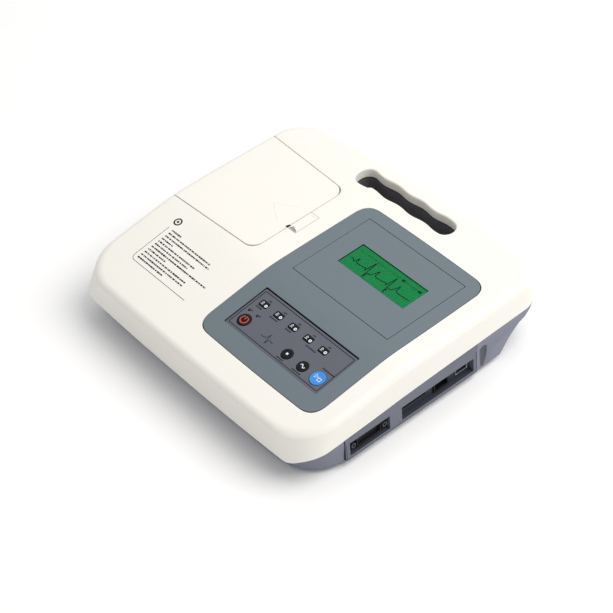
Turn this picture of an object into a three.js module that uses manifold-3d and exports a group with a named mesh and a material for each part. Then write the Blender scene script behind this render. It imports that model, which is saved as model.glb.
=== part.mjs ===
// Portable three-channel ECG recorder, built as the assembly it is: a white top shell over a grey base,
// a flush control panel with display and keys, a hinged paper door over a thermal printer, and a
// connector plate in the right side. Millimetres, +Z up.
// Every dimension below is in the design frame: origin at the display's centre on the top face,
// +X to the user's right, +Y away from the user. The exported group moves that frame so that the
// part's own origin is on the floor, under the middle of the case.
import * as THREE from "three";
import { mergeVertices } from "three/addons/utils/BufferGeometryUtils.js";
import Module from "manifold-3d";

const wasm = await Module();
wasm.setup();

// ---------------------------------------------------------------- driving dimensions

const GAP = 0.35; // clearance between neighbouring pieces
const FLOOR = -68; // the table, under the display's centre
const WALL = 2.6; // shell and base wall

// Plan outline of the case: four bowed sides between rounded corners.
const CASE = {
  left: -206.2,
  right: 91.6,
  front: -163.4,
  backLeft: 90,
  backRight: 105.2,
  bow: { left: 2.4, right: 1.9, front: 2.1, back: 7.4 },
  corner: { front: 36, back: 24 },
};
const TOP_EDGE = 6.5; // radius of the top edge
const LOW_CORNER = { left: 9, right: 24, z: -58 }; // the front corners are squarer towards the lower edge

// Side profile of the top face: nearly level, then falling towards the user.
const LEVEL_SLOPE = 0.015;
const KEY_SLOPE = 0.149;
const BEND_Y = -56.9;
const BEND_HALF = 12;
const BEND_STATIONS = [0, 1, 2, 3].map((i) => BEND_Y - BEND_HALF + (2 * BEND_HALF * i) / 3);

// Parting line between shell and base, seen from the right: y, z.
const PARTING = [
  [-180, -49.4],
  [-164.5, -49],
  [-161.7, -46.2],
  [-158, -42.8],
  [-152.5, -40.5],
  [-145, -39],
  [-126, -37.6],
  [-89, -34.7],
  [-62, -32.3],
  [-34, -30.9],
  [-7, -29.9],
  [50, -28.9],
  [120, -28.4],
];

// Underside of the base behind the feet, seen from the right: y, z.
const BASE_FLOOR = -66;
const REAR_PROFILE = [
  [50, BASE_FLOOR],
  [54.5, -60],
  [60.4, -50.6],
  [65.7, -44.2],
  [73, -38.6],
  [81, -35.8],
  [90, -31.4],
  [95, -30.4],
  [120, -30.2],
];

const PANEL = { left: -73.9, right: 73.1, front: -136.6, back: 55.3, corner: 17, bow: 1.2, thick: 3 };
const BEZEL = { halfX: 58.85, halfY: 43.15, thick: 1.6 };
const SCREEN = { left: -38.7, right: 41.4, front: -10.4, back: 17.9 };
const KEYPAD = { left: -58.4, right: 57.9, front: -119, back: -72, sink: 1.2, thick: 1.6 };

const DOOR = {
  right: -101.3,
  half: 52.6,
  flare: 0.0425, // the door's ends spread towards its hinge
  corner: 11,
  skirtLow: -15,
  wallTop: -20.6,
  hingeX: -204.2,
  hingeZ: -15,
  earRadius: 3.2,
  pinRadius: 1.2,
};
const LATCH = { left: -100.7, right: -90.7, front: -13.6, back: 13, pivotX: -92.3, pivotZ: -4.4, pivot: 1.2 };
const CATCH = { x: -102.6, z: -16.6, halfY: 6 }; // where the lever's hook holds the door's tongue

// Hand slot through the back of the case. Its long edges slant a little and wave to fit the fingers.
const SLOT = { left: -111, right: 3.4, front: 72, back: 89.4, slant: 0.025, middleX: -54, flange: 9 };
const WAVE = { height: 0.8, period: 31, frontCrest: -23, backCrest: -43 };
const SLOT_STEP = { x: -88.8, drop: 2.4 }; // the left end of the slot is a little wider

const PLATE = { front: -120.2, back: 24.2, low: -61, top: -20, face: 92.6, floor: 87.4 };
const POCKETS = [
  { front: -115.6, back: -72.8 },
  { front: -59.8, back: 20.1 },
];
const BATTERY = { left: -160, right: -88, front: -140, back: -74 };

// Mains inlet and earth post, in a pocket of the sloping rear face.
const INLET = { left: 23, right: 71, low: -58, top: -37.5, floor: 50, socketX: 38.5, postX: 63.5 };

const POCKET_LOW = -57.4;
const POCKET_TOP = -43;
const PORT_Z = -50.2;

// Printer, inside the bay under the paper door.
const PAPER_HALF = 40;
const PLATEN = { x: -192.5, z: -22, radius: 5, shaft: 2 };
const TRAY = { left: -202.6, right: -103.5, half: 58.6, low: -62.4, top: -4, wall: 2 };
const ROLL = { x: -133, z: -33, radius: 22, core: 8, bore: 6 };
const FRAME_Y = 43.6;
const FRAME_THICK = 2;
const GEAR = { module: 0.8, y: 46.4, width: 3, play: 0.2 };
const TEETH = { platen: 18, idler: 20, pinion: 10 };
const IDLER_TURN = THREE.MathUtils.degToRad(-26); // from the platen to the idler
const PINION_TURN = THREE.MathUtils.degToRad(-62); // from the idler to the motor
const HEAD_PIVOT = { x: -175.5, z: -13.5 };

// ---------------------------------------------------------------- solids

// A closed three.js geometry as a solid that can be joined and cut.
function solid(geometry) {
  const bare = geometry.index ? geometry.toNonIndexed() : geometry.clone();
  bare.deleteAttribute("normal");
  bare.deleteAttribute("uv");
  const merged = mergeVertices(bare, 1e-4);
  return new wasm.Manifold(
    new wasm.Mesh({
      numProp: 3,
      vertProperties: merged.attributes.position.array,
      triVerts: new Uint32Array(merged.index.array),
    }),
  );
}

const join = (...parts) => parts.reduce((whole, part) => whole.add(part));
const cut = (body, ...tools) => tools.reduce((rest, tool) => rest.subtract(tool), body);

function box(x0, x1, y0, y1, z0, z1) {
  const geometry = new THREE.BoxGeometry(x1 - x0, y1 - y0, z1 - z0);
  geometry.translate((x0 + x1) / 2, (y0 + y1) / 2, (z0 + z1) / 2);
  return solid(geometry);
}

// A round bar along "x", "y" or "z", from one station to the other; centre holds the other two coordinates.
function rod(axis, from, to, centre, radius, sides = 24, endRadius = radius) {
  const geometry = new THREE.CylinderGeometry(endRadius, radius, to - from, sides);
  const middle = (from + to) / 2;
  if (axis === "x") {
    geometry.rotateZ(-Math.PI / 2);
    geometry.translate(middle, centre[0], centre[1]);
  } else if (axis === "y") {
    geometry.translate(centre[0], middle, centre[1]);
  } else {
    geometry.rotateX(Math.PI / 2);
    geometry.translate(centre[0], centre[1], middle);
  }
  return solid(geometry);
}

const shapeOf = (points) => new THREE.Shape(points.map(([a, b]) => new THREE.Vector2(a, b)));

function extrude(shape, depth, curveSegments = 4) {
  return new THREE.ExtrudeGeometry(shape, { depth, bevelEnabled: false, curveSegments });
}

// An upright prism over a plan shape.
function prismZ(shape, z0, z1, curveSegments) {
  const geometry = extrude(shape, z1 - z0, curveSegments);
  geometry.translate(0, 0, z0);
  return solid(geometry);
}

// A prism along X over a side profile of [y, z] points.
function prismX(points, x0, x1) {
  const geometry = extrude(shapeOf(points), x1 - x0);
  geometry.applyMatrix4(
    new THREE.Matrix4().makeBasis(
      new THREE.Vector3(0, 1, 0),
      new THREE.Vector3(0, 0, 1),
      new THREE.Vector3(1, 0, 0),
    ),
  );
  geometry.translate(x0, 0, 0);
  return solid(geometry);
}

// A prism along Y over an end profile of [x, z] points.
function prismY(points, y0, y1) {
  const geometry = extrude(shapeOf(points), y1 - y0);
  geometry.rotateX(Math.PI / 2);
  geometry.translate(0, y1, 0);
  return solid(geometry);
}

function roundedRect(x0, x1, y0, y1, r) {
  const shape = new THREE.Shape();
  shape.moveTo(x0 + r, y0);
  shape.lineTo(x1 - r, y0);
  shape.absarc(x1 - r, y0 + r, r, -Math.PI / 2, 0, false);
  shape.lineTo(x1, y1 - r);
  shape.absarc(x1 - r, y1 - r, r, 0, Math.PI / 2, false);
  shape.lineTo(x0 + r, y1);
  shape.absarc(x0 + r, y1 - r, r, Math.PI / 2, Math.PI, false);
  shape.lineTo(x0, y0 + r);
  shape.absarc(x0 + r, y0 + r, r, Math.PI, 1.5 * Math.PI, false);
  return shape;
}

// ---------------------------------------------------------------- case surface

// Height of the top face: two slopes joined by a parabola.
function topZ(y) {
  const before = BEND_Y - y;
  let ramp = before;
  if (before < -BEND_HALF) ramp = 0;
  else if (before < BEND_HALF) ramp = (before + BEND_HALF) ** 2 / (4 * BEND_HALF);
  return LEVEL_SLOPE * y - (KEY_SLOPE - LEVEL_SLOPE) * ramp;
}

// Half of the case outline, front middle to back middle. side is -1 for the left half, 1 for the right.
// inset pulls the whole outline in; frontInset is the pull on the front side, and frontCorner the corner's size.
function halfOutline(side, inset, frontInset, frontCorner) {
  const left = CASE.left + inset;
  const right = CASE.right - inset;
  const front = CASE.front + frontInset;
  const middleX = (left + right) / 2;
  const halfWidth = (right - left) / 2;
  const back = (x) => {
    const t = (x - CASE.left) / (CASE.right - CASE.left);
    const chord = CASE.backLeft + (CASE.backRight - CASE.backLeft) * t;
    return chord + 4 * CASE.bow.back * t * (1 - t) - inset;
  };
  const frontAt = (x) => front - CASE.bow.front * (1 - ((x - middleX) / halfWidth) ** 2);
  const cornerX = side < 0 ? left : right;
  const bow = side < 0 ? -CASE.bow.left : CASE.bow.right;
  const farY = back(cornerX);
  const sideAt = (y) => {
    const v = (2 * y - front - farY) / (farY - front);
    return cornerX + bow * (1 - v * v);
  };
  const points = [];
  const corner = (from, tip, to) => {
    const reach = 0.55;
    const a = from.clone().lerp(tip, reach);
    const b = to.clone().lerp(tip, reach);
    const curve = new THREE.CubicBezierCurve(from, a, b, to);
    for (const p of curve.getPoints(5)) points.push([p.x, p.y]);
  };
  for (const u of [0.12, 0.45]) {
    const x = middleX + side * halfWidth * u;
    points.push([x, frontAt(x)]);
  }
  const frontX = cornerX - side * frontCorner;
  const frontY = front + frontCorner;
  corner(
    new THREE.Vector2(frontX, frontAt(frontX)),
    new THREE.Vector2(cornerX, front),
    new THREE.Vector2(sideAt(frontY), frontY),
  );
  for (const y of [-100, ...BEND_STATIONS, -15, 30]) points.push([sideAt(y), y]);
  const backX = cornerX - side * CASE.corner.back;
  const backY = farY - CASE.corner.back;
  corner(
    new THREE.Vector2(sideAt(backY), backY),
    new THREE.Vector2(cornerX, farY),
    new THREE.Vector2(backX, back(backX)),
  );
  for (const u of [0.5, 0.12]) {
    const x = middleX + side * halfWidth * u;
    points.push([x, back(x)]);
  }
  return points;
}

// A solid lofted through levels of the case outline, closed by strips that run from side to side.
// Each level is { inset, frontInset, corners, z }, where z is a height or a function of y.
function loftCase(levels) {
  const positions = [];
  const faces = [];
  const plain = { left: CASE.corner.front, right: CASE.corner.front };
  const count = halfOutline(1, 0, 0, plain.right).length;
  const ring = 2 * count;
  for (const { inset, frontInset = inset, corners = plain, z } of levels) {
    const rightHalf = halfOutline(1, inset, frontInset, corners.right);
    const leftHalf = halfOutline(-1, inset, frontInset, corners.left).reverse();
    for (const [x, y] of [...rightHalf, ...leftHalf]) {
      positions.push(x, y, typeof z === "function" ? z(y) : z);
    }
  }
  const quad = (a, b, c, d) => faces.push(a, b, c, a, c, d);
  for (let level = 0; level + 1 < levels.length; level++) {
    const low = level * ring;
    const high = low + ring;
    for (let i = 0; i < ring; i++) {
      const next = (i + 1) % ring;
      quad(low + i, low + next, high + next, high + i);
    }
  }
  const topRing = (levels.length - 1) * ring;
  for (let j = 0; j + 1 < count; j++) {
    const mirror = ring - 1 - j;
    quad(mirror - 1, j + 1, j, mirror);
    quad(topRing + mirror, topRing + j, topRing + j + 1, topRing + mirror - 1);
  }
  const geometry = new THREE.BufferGeometry();
  geometry.setAttribute("position", new THREE.Float32BufferAttribute(positions, 3));
  geometry.setIndex(faces);
  return solid(geometry);
}

// The case as if it were one block down to a level, its skin moved in by inset.
function caseBlock(inset, low, corners) {
  const radius = Math.max(TOP_EDGE - inset, 2);
  const levels = [{ inset: inset + 0.8, corners, z: low }];
  for (const degrees of [0, 45, 90]) {
    const a = THREE.MathUtils.degToRad(degrees);
    const rise = radius * (1 - Math.sin(a));
    levels.push({ inset: inset + radius * (1 - Math.cos(a)), z: (y) => topZ(y) - inset - rise });
  }
  return loftCase(levels);
}

const FAR_LEFT = -260;
const FAR_RIGHT = 140;

// Everything above (or below) the parting line, moved by shift.
function abovePart(shift) {
  const line = PARTING.map(([y, z]) => [y, z + shift]);
  return prismX([...line, [120, 60], [-180, 60]], FAR_LEFT, FAR_RIGHT);
}
function belowPart(shift) {
  const line = PARTING.map(([y, z]) => [y, z + shift]).reverse();
  return prismX([[-180, -90], [120, -90], ...line], FAR_LEFT, FAR_RIGHT);
}

// The layer between two depths under the top face.
function layer(top, bottom) {
  const stations = [-170, ...BEND_STATIONS, 115];
  const lower = stations.map((y) => [y, topZ(y) - bottom]);
  const upper = stations.map((y) => [y, topZ(y) - top]).reverse();
  return prismX([...lower, ...upper], FAR_LEFT, FAR_RIGHT);
}

// ---------------------------------------------------------------- plan shapes

function panelShape(grow) {
  const { left, right, front, back, corner, bow } = PANEL;
  const x0 = left - grow;
  const x1 = right + grow;
  const y0 = front - grow;
  const y1 = back + grow;
  const shape = new THREE.Shape();
  const midX = (x0 + x1) / 2;
  const midY = (y0 + y1) / 2;
  shape.moveTo(x0 + corner, y0);
  shape.quadraticCurveTo(midX, y0 - bow, x1 - corner, y0);
  shape.quadraticCurveTo(x1, y0, x1, y0 + corner);
  shape.quadraticCurveTo(x1 + bow, midY, x1, y1 - corner);
  shape.quadraticCurveTo(x1, y1, x1 - corner, y1);
  shape.quadraticCurveTo(midX, y1 + bow, x0 + corner, y1);
  shape.quadraticCurveTo(x0, y1, x0, y1 - corner);
  shape.quadraticCurveTo(x0 - bow, midY, x0, y0 + corner);
  shape.quadraticCurveTo(x0, y0, x0 + corner, y0);
  return shape;
}

function doorShape(grow) {
  const { right, half, flare, corner } = DOOR;
  const x1 = right + grow;
  const h = half + grow;
  const far = FAR_LEFT + 20;
  const spread = h + flare * (x1 - corner - far);
  const shape = new THREE.Shape();
  shape.moveTo(far, -spread);
  shape.lineTo(x1 - corner, -h);
  shape.absarc(x1 - corner, -h + corner, corner, -Math.PI / 2, 0, false);
  shape.absarc(x1 - corner, h - corner, corner, 0, Math.PI / 2, false);
  shape.lineTo(far, spread);
  return shape;
}

// One long edge of the hand slot.
const slotEdge = (y, crest) => (x) =>
  y + SLOT.slant * (x - SLOT.middleX) + WAVE.height * Math.cos((2 * Math.PI * (x - crest)) / WAVE.period);
const slotFront = slotEdge(SLOT.front, WAVE.frontCrest);
const slotBack = slotEdge(SLOT.back, WAVE.backCrest);

// The hand slot grown by a margin: two long edges between round ends.
function slotShape(grow) {
  const { left, right } = SLOT;
  const radius = (SLOT.back - SLOT.front) / 2;
  const steps = 11;
  const at = (i) => left + radius + ((right - left - 2 * radius) * i) / steps;
  const points = [];
  const end = (x, from) => {
    const middle = (slotFront(x) + slotBack(x)) / 2;
    const reach = (slotBack(x) - slotFront(x)) / 2 + grow;
    for (let i = 1; i < 6; i++) {
      const a = from + (Math.PI * i) / 6;
      points.push([x + (radius + grow) * Math.cos(a), middle + reach * Math.sin(a)]);
    }
  };
  for (let i = 0; i <= steps; i++) {
    const step = at(i) < SLOT_STEP.x ? SLOT_STEP.drop : 0;
    points.push([at(i), slotFront(at(i)) - step - grow]);
  }
  end(at(steps), -Math.PI / 2);
  for (let i = steps; i >= 0; i--) points.push([at(i), slotBack(at(i)) + grow]);
  end(at(0), Math.PI / 2);
  return shapeOf(points);
}

// ---------------------------------------------------------------- materials and nodes

const paint = (color, roughness, metalness = 0) =>
  new THREE.MeshStandardMaterial({ color, roughness, metalness });
const WHITE = paint(0xf5f2ea, 0.45);
const GREY = paint(0x82859a, 0.5);
const SLATE = paint(0x737b86, 0.55);
const KEYPLATE = paint(0x686c76, 0.6);
const BLACK = paint(0x17191d, 0.5);
const BLUE = paint(0x3f92ee, 0.4);
const GREEN = paint(0x0d8a48, 0.3);
const CLEAR = paint(0xdfeee6, 0.1);
const STEEL = paint(0xb9bcc0, 0.35, 1);
const RUBBER = paint(0x222222, 0.85);
const BOARD = paint(0x1d5b3a, 0.6);
const PAPER = paint(0xf4efe6, 0.8);
const CARD = paint(0x9b7a55, 0.85);
const NYLON = paint(0xe8e4d6, 0.55);
const AMBER = paint(0xd9a441, 0.4);
const WRAP = paint(0x2b4a7a, 0.5);

const device = new THREE.Group();

function addMesh(parent, name, body, material) {
  const made = body.getMesh();
  const geometry = new THREE.BufferGeometry();
  geometry.setAttribute("position", new THREE.BufferAttribute(made.vertProperties.slice(), 3));
  geometry.setIndex(new THREE.BufferAttribute(made.triVerts.slice(), 1));
  geometry.computeVertexNormals();
  const mesh = new THREE.Mesh(geometry, material);
  mesh.name = name;
  parent.add(mesh);
  return mesh;
}
const add = (name, body, material) => addMesh(device, name, body, material);

// ---------------------------------------------------------------- enclosure

const SCREWS = [
  [-184, -124],
  [77.5, -133],
  [-87.5, 40],
  [80, 38],
];
const FEET = [
  [-172, -138],
  [58, -138],
  [-172, 12],
  [58, 12],
];

// Both signs of a stretch along Y, as [from, to] pairs.
const bothSides = (near, far) => [
  [-far, -near],
  [near, far],
];

function topShell() {
  const skin = cut(caseBlock(0, LOW_CORNER.z, LOW_CORNER), caseBlock(WALL, -80)).intersect(abovePart(0));
  const panelHole = prismZ(panelShape(GAP), -30, 20);
  const doorHole = prismZ(doorShape(GAP), DOOR.wallTop, 20);
  const latchHole = box(LATCH.left - 2, LATCH.right + GAP, LATCH.front - GAP, LATCH.back + GAP, -30, 20);
  const flange = prismZ(slotShape(2.2), -SLOT.flange, 1.2);
  const slotHole = prismZ(slotShape(0), -40, 20);
  const bosses = SCREWS.map(([x, y]) =>
    cut(rod("z", -50, topZ(y) - 1.5, [x, y], 4, 16), rod("z", -51, -30, [x, y], 1.4, 12)),
  );
  const { hingeX, hingeZ, pinRadius } = DOOR;
  const hingeLugs = bothSides(57.2, 60.8).map(([y0, y1]) =>
    box(hingeX - 5, hingeX + 4.5, y0, y1, hingeZ - 4.5, hingeZ + 6).intersect(caseBlock(1, -58)),
  );
  const pinHoles = bothSides(56, 60.6).map(([y0, y1]) =>
    rod("y", y0, y1, [hingeX, hingeZ], pinRadius + GAP, 16),
  );
  const { pivotX, pivotZ, pivot } = LATCH;
  const lugX = [pivotX - 2.4, LATCH.right + 1.6];
  const latchLugs = [LATCH.front - 2.2, LATCH.back + 0.6].map((y) =>
    box(lugX[0], lugX[1], y, y + 1.6, pivotZ - 2.6, topZ(y) - 2),
  );
  const pivotHole = rod("y", LATCH.front - 4, LATCH.back + 4, [pivotX, pivotZ], pivot + GAP, 12);
  const openings = [panelHole, doorHole, latchHole, slotHole, ...pinHoles, pivotHole];
  return cut(join(skin, flange, ...bosses, ...hingeLugs, ...latchLugs), ...openings);
}

const BASE_LEVELS = [
  { inset: 6, frontInset: 10.6, z: BASE_FLOOR },
  { inset: 2.6, frontInset: 7.6, z: BASE_FLOOR + 3.6 },
  { inset: 0.9, frontInset: 5.2, z: -44 },
  { inset: 0.8, frontInset: 4.4, z: -20 },
];

// The room inside the base, its walls moved in by a margin.
function baseRoom(margin) {
  const [, foot, waist, rim] = BASE_LEVELS;
  const pull = WALL + margin;
  const inside = ({ inset, frontInset }, z) => ({ inset: inset + pull, frontInset: frontInset + pull, z });
  const room = loftCase([inside(foot, BASE_FLOOR + pull), inside(waist, -44), inside(rim, -10)]);
  const rear = REAR_PROFILE.map(([y, z]) => [y - 1.3 - margin, z + pull]);
  return room.intersect(prismX([[-180, BASE_FLOOR + pull], ...rear, [120, 30], [-180, 30]], FAR_LEFT, FAR_RIGHT));
}

function baseShell() {
  const rear = prismX([[-180, BASE_FLOOR], ...REAR_PROFILE, [120, 30], [-180, 30]], FAR_LEFT, FAR_RIGHT);
  const block = loftCase(BASE_LEVELS).intersect(rear);
  const tube = prismZ(slotShape(2.2), -62, -SLOT.flange - GAP).intersect(rear);
  const pocket = INLET;
  const pocketZ = (pocket.low + pocket.top) / 2;
  const collar = box(
    pocket.left - 2,
    pocket.right + 2,
    pocket.floor - 2,
    110,
    pocket.low - 2,
    pocket.top + 2,
  ).intersect(block);
  const bosses = SCREWS.map(([x, y]) => rod("z", BASE_FLOOR + 1, -52, [x, y], 4.6, 16));
  const { front, back, low, face } = PLATE;
  const scoop = rod("z", -61, -38, [97, 31.5], 6.5, 24).add(
    rod("z", -38, -34, [97, 31.5], 6.5, 24, 3),
  );
  const batteryPlan = roundedRect(BATTERY.left, BATTERY.right, BATTERY.front, BATTERY.back, 4);
  const holes = [
    prismZ(slotShape(0), -80, 20),
    box(face - 9, face + 10, front - GAP, back + GAP, low - GAP, 0),
    scoop,
    prismZ(batteryPlan, -70, -60),
    box(pocket.left, pocket.right, pocket.floor, 110, pocket.low, pocket.top),
    box(pocket.socketX - 13.2, pocket.socketX + 13.2, pocket.floor - 5, pocket.floor + 1, pocketZ - 9.4, pocketZ + 9.4),
    rod("y", pocket.floor - 5, pocket.floor + 1, [pocket.postX, pocketZ], 2.4, 12),
    ...SCREWS.map(([x, y]) => rod("z", -70, -60, [x, y], 3.2, 16)),
    ...SCREWS.map(([x, y]) => rod("z", -61, -51, [x, y], 1.9, 12)),
    ...FEET.map(([x, y]) => rod("z", -70, BASE_FLOOR + 1.2, [x, y], 7.4, 20)),
  ];
  const shell = cut(block.intersect(belowPart(-GAP)), baseRoom(0));
  return cut(join(shell, tube, collar, ...bosses), ...holes);
}

add("top_shell", topShell(), WHITE);
add("base_shell", baseShell(), GREY);
FEET.forEach(([x, y], i) => {
  const pad = rod("z", FLOOR, FLOOR + 1, [x, y], 6.4, 20, 7).add(
    rod("z", FLOOR + 1, BASE_FLOOR + 1.2 - GAP, [x, y], 7, 20),
  );
  add("foot_" + (i + 1), pad, RUBBER);
});
SCREWS.forEach(([x, y], i) => {
  const head = rod("z", -64, -60 - GAP, [x, y], 2.8, 16);
  const shank = rod("z", -61, -33, [x, y], 1.05, 12);
  const drive = box(x - 1.6, x + 1.6, y - 0.35, y + 0.35, -65, -63).add(
    box(x - 0.35, x + 0.35, y - 1.6, y + 1.6, -65, -63),
  );
  add("case_screw_" + (i + 1), cut(head.add(shank), drive), STEEL);
});

// ---------------------------------------------------------------- control panel

const KEY_WINDOW = 3; // width of the ledge that the keypad plate rests on

function controlPanel() {
  const { halfX, halfY, thick } = BEZEL;
  const seatPlan = roundedRect(-halfX - GAP, halfX + GAP, -halfY - GAP, halfY + GAP, 1);
  const seat = prismZ(seatPlan, -10, 10).intersect(layer(-5, thick + GAP));
  const window = box(SCREEN.left - 4, SCREEN.right + 4, SCREEN.front - 4, SCREEN.back + 4, -20, 20);
  const { left, right, front, back, sink } = KEYPAD;
  const keyWell = prismZ(roundedRect(left, right, front, back, 1), -40, 20);
  const ledge = KEY_WINDOW;
  const keyWindow = prismZ(roundedRect(left + ledge, right - ledge, front + ledge, back - ledge, 1), -40, 20);
  const slab = prismZ(panelShape(0), -40, 20).intersect(layer(0, PANEL.thick + sink));
  const keySeat = keyWell.intersect(layer(-5, sink + KEYPAD.thick + GAP));
  return cut(slab, seat, window, keySeat, keyWindow);
}

add("control_panel", controlPanel(), SLATE);

const bezelPlan = roundedRect(-BEZEL.halfX, BEZEL.halfX, -BEZEL.halfY, BEZEL.halfY, 1);
const bezelHole = box(SCREEN.left - GAP, SCREEN.right + GAP, SCREEN.front - GAP, SCREEN.back + GAP, -20, 20);
add("display_bezel", prismZ(bezelPlan, -10, 10).intersect(layer(0, BEZEL.thick)).subtract(bezelHole), SLATE);
const lensPlan = roundedRect(SCREEN.left, SCREEN.right, SCREEN.front, SCREEN.back, 0.5);
add("display_lens", prismZ(lensPlan, -10, 10).intersect(layer(0.4, 1.4)), CLEAR);

const lcdFrame = box(-44, 46.6, -15, 22.5, -8, -5.2);
const lcdGlass = box(SCREEN.left + 1, SCREEN.right - 1, SCREEN.front + 1, SCREEN.back - 1, -6, -2.2);
add("lcd_module", lcdFrame.add(lcdGlass), GREEN);

// The keypad's own frame: x across, y up its slope, z out of it, origin at its middle.
const keypadMiddle = (KEYPAD.front + KEYPAD.back) / 2;
const keypadTilt = Math.atan(KEY_SLOPE);
const keypad = new THREE.Group();
keypad.position.set(0, keypadMiddle, topZ(keypadMiddle));
keypad.rotation.x = keypadTilt;
device.add(keypad);
const upSlope = (y) => (y - keypadMiddle) / Math.cos(keypadTilt);

const KEY_PROUD = 0.3;
const FUNCTION_ROW = upSlope(-85.2);
const ROUND_ROW = upSlope(-106.9);
const KEYS = [
  { name: "power_key", x: -46.6, y: ROUND_ROW, radius: 6.2, material: BLACK },
  { name: "mode_key", x: 8.4, y: ROUND_ROW, radius: 5.2, material: BLACK },
  { name: "filter_key", x: 27.8, y: ROUND_ROW, radius: 5.2, material: BLACK },
  { name: "print_key", x: 46.2, y: ROUND_ROW, radius: 7, material: BLUE },
];
for (let i = 0; i < 5; i++) {
  const name = "function_key_" + (i + 1);
  KEYS.push({ name, x: -46.4 + 18.75 * i, y: FUNCTION_ROW, halfX: 4.5, halfY: 3, material: BLACK });
}
const LAMPS = [
  [-51.6, upSlope(-97)],
  [-41.4, upSlope(-97)],
];

// A key's outline grown by a margin, as an upright prism in the keypad's frame.
function keyPrism(key, grow, z0, z1) {
  if (key.radius) return rod("z", z0, z1, [key.x, key.y], key.radius + grow, 20);
  const { x, y } = key;
  const w = key.halfX + grow;
  const h = key.halfY + grow;
  return prismZ(roundedRect(x - w, x + w, y - h, y + h, 1.2), z0, z1, 2);
}

const plateTop = -KEYPAD.sink;
const plateLow = plateTop - KEYPAD.thick;
const keyHoles = KEYS.map((key) => keyPrism(key, GAP, -20, 20));
const lampHoles = LAMPS.map(([x, y]) => rod("z", -20, 20, [x, y], 1.1 + GAP, 8));
const keyPlan = roundedRect(
  KEYPAD.left + GAP,
  KEYPAD.right - GAP,
  upSlope(KEYPAD.front + GAP),
  upSlope(KEYPAD.back - 2 * GAP),
  1,
);
const keyPlate = prismZ(keyPlan, plateLow, plateTop).intersect(box(-80, 80, -26, 26, -20, 20));
addMesh(keypad, "keypad_plate", cut(keyPlate, ...keyHoles, ...lampHoles), KEYPLATE);

const boardTop = plateLow - 3.2;
for (const key of KEYS) {
  const cap = keyPrism(key, 0, plateLow - 0.9, plateTop + KEY_PROUD);
  const skirt = keyPrism(key, 1, plateLow - 1.5, plateLow - GAP);
  addMesh(keypad, key.name, cap.add(skirt), key.material);
}
LAMPS.forEach(([x, y], i) => {
  const pipe = rod("z", boardTop + 0.9, plateTop + 0.2, [x, y], 1.1, 8);
  addMesh(keypad, "indicator_lamp_" + (i + 1), pipe, AMBER);
});
const switches = KEYS.map((key) => rod("z", boardTop - 0.2, boardTop + 0.5, [key.x, key.y], 2.2, 6));
const lampChips = LAMPS.map(([x, y]) => box(x - 0.9, x + 0.9, y - 0.9, y + 0.9, boardTop - 0.2, boardTop + 0.5));
const keyBoard = box(-54, 54, -20.5, 19.5, boardTop - 1.6, boardTop);
addMesh(keypad, "keypad_board", join(keyBoard, ...switches, ...lampChips), BOARD);

// ---------------------------------------------------------------- paper door and latch

// The lever's pivot, the point where its hook holds the door, and the directions away from the pivot and
// across it. Hook and tongue meet square to the line from the pivot, so a pull on the door cannot turn
// the lever.
const pivotPoint = new THREE.Vector2(LATCH.pivotX, LATCH.pivotZ);
const catchPoint = new THREE.Vector2(CATCH.x, CATCH.z);
const outward = catchPoint.clone().sub(pivotPoint).normalize();
const across = new THREE.Vector2(-outward.y, outward.x);
const catchAt = (out, along) => {
  const p = catchPoint.clone().addScaledVector(outward, out).addScaledVector(across, along);
  return [p.x, p.y];
};

function paperDoor() {
  const { hingeX, hingeZ, earRadius, pinRadius, skirtLow } = DOOR;
  const skin = cut(caseBlock(0, -58), caseBlock(2.4, -80));
  const above = box(FAR_LEFT, FAR_RIGHT, -200, 200, skirtLow, 60);
  const plate = skin.intersect(prismZ(doorShape(-GAP), -40, 20)).intersect(above);
  const ears = bothSides(50.8, 54.8).map(([y0, y1]) => {
    const eye = rod("y", y0, y1, [hingeX, hingeZ], earRadius, 20);
    const web = box(hingeX - 6, hingeX + 1.2, y0, y1, hingeZ, hingeZ + 10);
    return eye.add(web).intersect(caseBlock(0.6, -80));
  });
  const pinHole = rod("y", -70, 70, [hingeX, hingeZ], pinRadius + GAP, 16);
  const webX = CATCH.x - 4.7;
  const toeZ = CATCH.z - 2.4;
  const lip = catchAt(GAP, 0.95);
  const shoulder = catchAt(GAP, -1.4);
  const profile = [
    [webX, toeZ],
    [lip[0], toeZ],
    lip,
    shoulder,
    [webX + 2.4, shoulder[1]],
    [webX + 2.4, -1.2],
    [webX, -1.2],
  ];
  const tongue = prismY(profile, -CATCH.halfY - 2, CATCH.halfY + 2);
  return cut(join(plate, ...ears, tongue), pinHole);
}
add("paper_door", paperDoor(), WHITE);

const STEM = { left: LATCH.left + 3.4, right: LATCH.left + 5.4 };

function doorLatch() {
  const { left, right, front, back, pivotX, pivotZ, pivot } = LATCH;
  const cap = box(left, right, front, back, -12, 12).intersect(layer(0, 2.6));
  const spindle = rod("y", front - 2, back + 2, [pivotX, pivotZ], pivot, 12);
  const carriers = [front, back - 2].map((y) => box(pivotX - 1.2, pivotX + 1.2, y, y + 2, pivotZ, -2));
  const heel = catchAt(0, 1.6);
  const toe = catchAt(0, -0.5);
  const profile = [
    [STEM.right, -2],
    [STEM.left, -2],
    [STEM.left, toe[1] + 2.4],
    [toe[0], toe[1] + 1.6],
    toe,
    heel,
    [STEM.right, heel[1]],
  ];
  const hook = prismY(profile, -CATCH.halfY, CATCH.halfY);
  const dish = rod("y", front + 2, back - 2, [(left + right) / 2 + 0.6, 9.4], 9.6, 40);
  return cut(join(cap, spindle, ...carriers, hook), dish);
}
add("door_latch", doorLatch(), WHITE);
const springTop = catchAt(0, 1.6)[1] - GAP;
const springLow = springTop - 6;
const springX = (STEM.left + STEM.right) / 2;
add("latch_spring", rod("z", springLow, springTop, [springX, 0], 1.8, 12), STEEL);

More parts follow.
